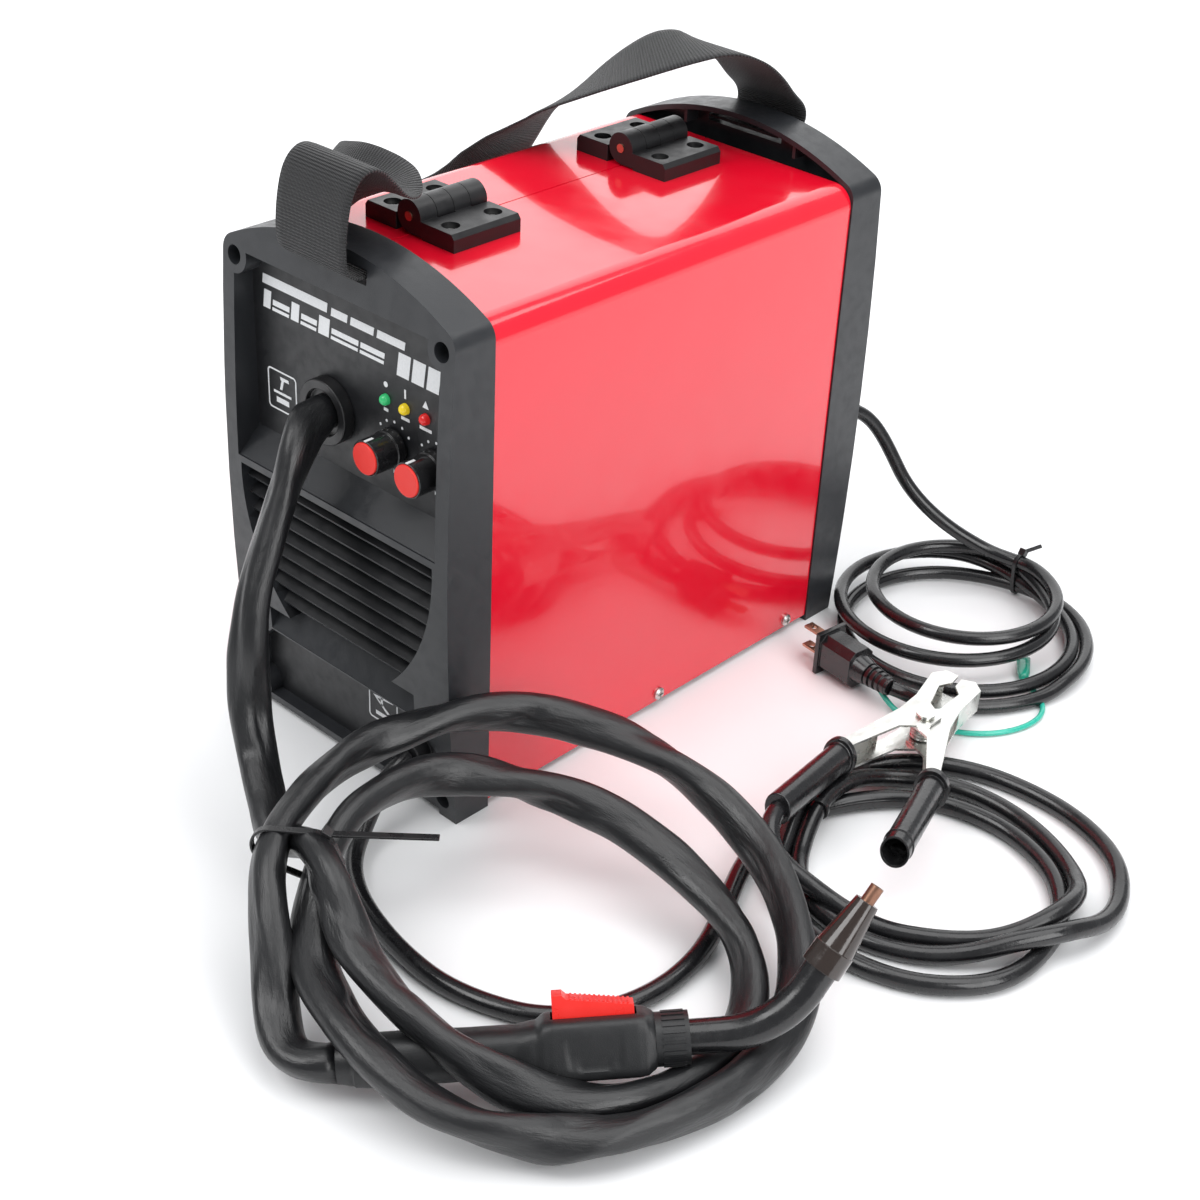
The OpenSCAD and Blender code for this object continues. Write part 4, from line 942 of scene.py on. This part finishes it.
# along, half width, top, bottom, squareness
HANDLE = [(-140, 9.4, 9.4, 9.4, 2.0), (-133, 10.6, 10.6, 10.6, 2.0), (-132, 11.4, 11.2, 11.2, 2.2),
          (-124, 12.0, 11.5, 11.5, 2.6), (-104, 11.9, 11.4, 11.5, 2.8),
          (-80, 11.5, 10.6, 11.5, 2.8), (-62, 11.7, 10.4, 12.2, 2.9), (-53, 12.5, 11.4, 13.2, 3.2),
          (-48, 13.3, 13.8, 13.9, 4.6), (-45, 13.5, 14.0, 14.0, 5.5), (-8, 13.5, 14.0, 14.0, 5.5),
          (-4.5, 13.2, 13.7, 13.7, 5.0), (-1.5, 12.4, 12.6, 12.6, 3.4), (0, 11.6, 11.6, 11.6, 2.6)]


def along_stations(table, x):
    for a, b in zip(table, table[1:]):
        if x <= b[0]:
            t = (x - a[0]) / (b[0] - a[0])
            t = t * t * (3 - 2 * t)
            return [p + (q - p) * t for p, q in zip(a, b)]
    return list(table[-1])


def power(c, n):
    return math.copysign(abs(c) ** (2.0 / n), c)


def cut_away(obj, boxes):
    """Cuts boxes (x0, x1, y0, y1, z0, z1), in mm of the object's own pose, out of obj."""
    for n, (x0, x1, y0, y1, z0, z1) in enumerate(boxes):
        verts = [mm(x, y, z) for x in (x0, x1) for y in (y0, y1) for z in (z0, z1)]
        tool = add_mesh("cutter_%d" % n, verts, BOX_FACES, "handle", smooth=False)
        tidy_normals(tool)
        mod = obj.modifiers.new("cut", "BOOLEAN")
        mod.operation, mod.solver, mod.object = "DIFFERENCE", "EXACT", tool
        bpy.context.view_layer.update()
        made = bpy.data.meshes.new_from_object(
            obj.evaluated_get(bpy.context.evaluated_depsgraph_get()))
        obj.modifiers.clear()
        obj.data = made
        bpy.data.objects.remove(tool)


def torch_handle():
    sides, n = 72, 140
    verts, faces = [], []
    for i in range(n + 1):
        x, hw_, top, low, sq = along_stations(HANDLE, -140 + 140 * i / n)
        x = -140 + 140 * i / n
        for k in range(sides):
            a = 2 * math.pi * k / sides
            y, z = hw_ * power(math.cos(a), sq), power(math.sin(a), sq)
            z *= top if z > 0 else low
            # thumb recess on both flanks of the block
            e = ((x + 27) / 13.5) ** 2 + ((z + 2.5) / 5.6) ** 2
            if abs(y) > 8:
                y -= math.copysign(0.9 * max(0.0, min(1.0, (1.12 - e) / 0.16)), y)
            verts.append(mm(x, y, z))
    for i in range(n):
        for k in range(sides):
            p, q = i * sides + k, i * sides + (k + 1) % sides
            faces.append((p, q, q + sides, p + sides))
    faces.append(tuple(range(sides))[::-1])
    faces.append(tuple(n * sides + k for k in range(sides)))
    obj = add_mesh("torch_handle_shell", verts, faces, "handle")
    tidy_normals(obj)
    cut_away(obj, [(-45.5, -7.5, -6.1, 6.1, 7.5, 20)])
    shade(obj, 38)
    obj.data.transform(TORCH_POSE)
    dress(obj, "handle")
    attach(obj, "machine")
    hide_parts("torch_handle")
    # rows of small grip studs along both lower flanks
    verts, faces = [], []
    for side in (-1, 1):
        for row in range(3):
            for k in range(22):
                x = -84 + 1.9 * k + 0.95 * (row % 2)
                _, hw_, top, low, sq = along_stations(HANDLE, x)
                a = math.radians(-16 - 8 * row)
                y, z = hw_ * power(math.cos(a), sq), low * power(math.sin(a), sq)
                base = len(verts)
                for dx, dz in ((-0.75, 0), (0, -0.75), (0.75, 0), (0, 0.75)):
                    verts.append(mm(x + dx, side * (y - 0.15), z + dz))
                verts.append(mm(x, side * (y + 0.45), z))
                faces += [(base + j, base + (j + 1) % 4, base + 4) for j in range(4)]
                faces.append((base + 3, base + 2, base + 1, base))
    studs = add_mesh("torch_handle_studs", verts, faces, "handle", smooth=False)
    tidy_normals(studs)
    studs.data.transform(TORCH_POSE)
    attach(studs, "machine")


torch_handle()

# ---------------------------------------------------------------- front panel print and lamps
def rect(x0, x1, z0, z1, lean=0.0):
    return [(x0, z0), (x1, z0), (x1 + lean, z1), (x0 + lean, z1)]


def round_rect(x0, x1, z0, z1, r, n=6):
    out = []
    for cx, cz, a0 in ((x1 - r, z1 - r, 0), (x0 + r, z1 - r, 90), (x0 + r, z0 + r, 180),
                       (x1 - r, z0 + r, 270)):
        for k in range(n + 1):
            a = math.radians(a0 + 90 * k / n)
            out.append((cx + r * math.cos(a), cz + r * math.sin(a)))
    return out


def dot(x, z, r, n=16):
    return [(x + r * math.cos(2 * math.pi * k / n), z + r * math.sin(2 * math.pi * k / n))
            for k in range(n)]


def printed(name, solids, frames_, y, look="print", thick=0.12):
    """Raised ink on a plane facing -Y: filled outlines, and outlines drawn as lines."""
    verts, faces = [], []
    for poly in solids:
        base = len(verts)
        verts += [mm(x, y, z) for x, z in poly] + [mm(x, y - thick, z) for x, z in poly]
        n = len(poly)
        faces.append(tuple(base + n + k for k in range(n)))
        faces.append(tuple(base + k for k in range(n))[::-1])
        faces += [(base + k, base + (k + 1) % n, base + n + (k + 1) % n, base + n + k)
                  for k in range(n)]
    for outer, inner in frames_:
        base, n = len(verts), len(outer)
        for dy in (0, -thick):
            verts += [mm(x, y + dy, z) for x, z in outer]
            verts += [mm(x, y + dy, z) for x, z in inner]
        for k in range(n):
            j = (k + 1) % n
            faces.append((base + 2 * n + k, base + 2 * n + j, base + 3 * n + j, base + 3 * n + k))
            faces.append((base + k, base + j, base + 2 * n + j, base + 2 * n + k))
            faces.append((base + n + j, base + n + k, base + 3 * n + k, base + 3 * n + j))
            faces.append((base + j, base + k, base + n + k, base + n + j))
    obj = add_mesh(name, verts, faces, look, smooth=False)
    tidy_normals(obj)
    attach(obj, "machine")
    return obj


def boxed(x0, x1, z0, z1):
    return round_rect(x0, x1, z0, z1, 2.4), round_rect(x0 + 0.9, x1 - 0.9, z0 + 0.9, z1 - 0.9, 1.6)


def panel_print():
    y = -FLOOR_Y - 0.02
    bars = [rect(-68, -18, 253.5, 258.8, 0.8)]
    x = -15.0
    for w in (12.0, 17.0, 20.0):
        bars.append(rect(x, x + w, 253.0, 257.4, 0.8))
        x += w + 2.4
    x = -68.0
    for w, tall in ((5.5, 1), (13, 0), (6, 1), (12, 0), (8, 1), (20, 0), (17.5, 0)):
        if tall:
            bars.append(rect(x, x + w, 240.5, 250.5, 1.4))
        else:
            bars.append(rect(x, x + w, 240.5, 242.3, 0.3))
            bars.append(rect(x + 0.6, x + w + 0.6, 243.6, 246.6, 0.4))
        x += w + 1.6
    for x in (33.0, 43.5, 54.0):
        bars.append(rect(x, x + 8.6, 238.5, 251.0, 1.8))
    for x, w in zip(LAMP_X, (3.2, 6.0, 8.5)):
        bars.append(rect(x - w / 2, x + w / 2, LAMP_Z - 6.4, LAMP_Z - 4.7))
    bars.append(dot(LAMP_X[0], LAMP_Z + 8.0, 1.5))
    bars.append(rect(LAMP_X[1] - 0.6, LAMP_X[1] + 0.6, LAMP_Z + 5.4, LAMP_Z + 10.2))
    bars.append([(LAMP_X[2] - 2.2, LAMP_Z + 5.6), (LAMP_X[2] + 2.2, LAMP_Z + 5.6),
                 (LAMP_X[2], LAMP_Z + 9.6)])
    for kx in KNOB_X:
        for a in (40, 65, 90, 115, 140):
            t = math.radians(a)
            bars.append(dot(kx + 13.4 * math.cos(t), KNOB_Z + 13.4 * math.sin(t), 0.75))
        bars.append(rect(kx - 1, kx + 7.5, KNOB_Z - 14.8, KNOB_Z - 13.0))
    # torch symbol: two workpiece bars and a bent nozzle
    bars += [rect(-62.5, -48.5, 194.6, 196.0), rect(-60.5, -50.5, 189.6, 192.6)]
    bars += [rect(-57.5, -55.6, 197.6, 203.0, 1.6), rect(-56.6, -50.0, 203.0, 204.8, -0.4)]
    printed("panel_print", bars, [boxed(-67, -44, 185, 208)], y)
    # earth symbol: a tapering jaw over a bar
    low = [[(12.5, 43.5), (28.5, 45.5), (28.5, 43.8), (15.5, 42.3)],
           [(12.5, 43.5), (15.5, 42.3), (25.5, 36.2), (23.6, 35.2)],
           rect(18.6, 20.2, 38.6, 44.0), rect(14.5, 26.5, 31.6, 34.0)]
    printed("lower_print", low, [boxed(9, 32, 28, 49)], -FLOOR_Y - 1.02)


def lamps():
    for x, look in zip(LAMP_X, ("lamp_green", "lamp_yellow", "lamp_red")):
        profile = [(0.0, 0.0), (2.9, 0.0), (2.9, 5.2), (2.86, 5.9)]
        profile += [(2.86 * math.cos(math.radians(a)), 5.9 + 2.75 * math.sin(math.radians(a)))
                    for a in range(10, 91, 10)]
        lens_obj = lathe("status_" + look, [(r * MM, z * MM) for r, z in profile[1:]], look, 40)
        lens_obj.data.transform(Matrix.Translation(mm(x, -FLOOR_Y + 5, LAMP_Z))
                                @ Matrix.Rotation(math.radians(90), 4, "X"))
        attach(lens_obj, "machine")
        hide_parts("status_lamps")


def pointers():
    """White marks on the knobs: a short bar let into the top of the rim at rest."""
    half, inner_y, rim_y, low, high = 0.75, -164.0, -169.3, 9.2, 9.55
    outline = ((-half, inner_y), (half, inner_y), (half, rim_y), (-half, rim_y))
    faces = [(0, 3, 2, 1), (4, 5, 6, 7), (0, 1, 5, 4), (1, 2, 6, 5), (2, 3, 7, 6), (3, 0, 4, 7)]
    for x, body in zip(KNOB_X, ("voltage_dial", "speed_dial")):
        verts = [mm(x + dx, y, KNOB_Z + z) for z in (low, high) for dx, y in outline]
        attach(add_mesh(body + "_pointer", verts, faces, "print", smooth=False), body)


panel_print()
lamps()
pointers()
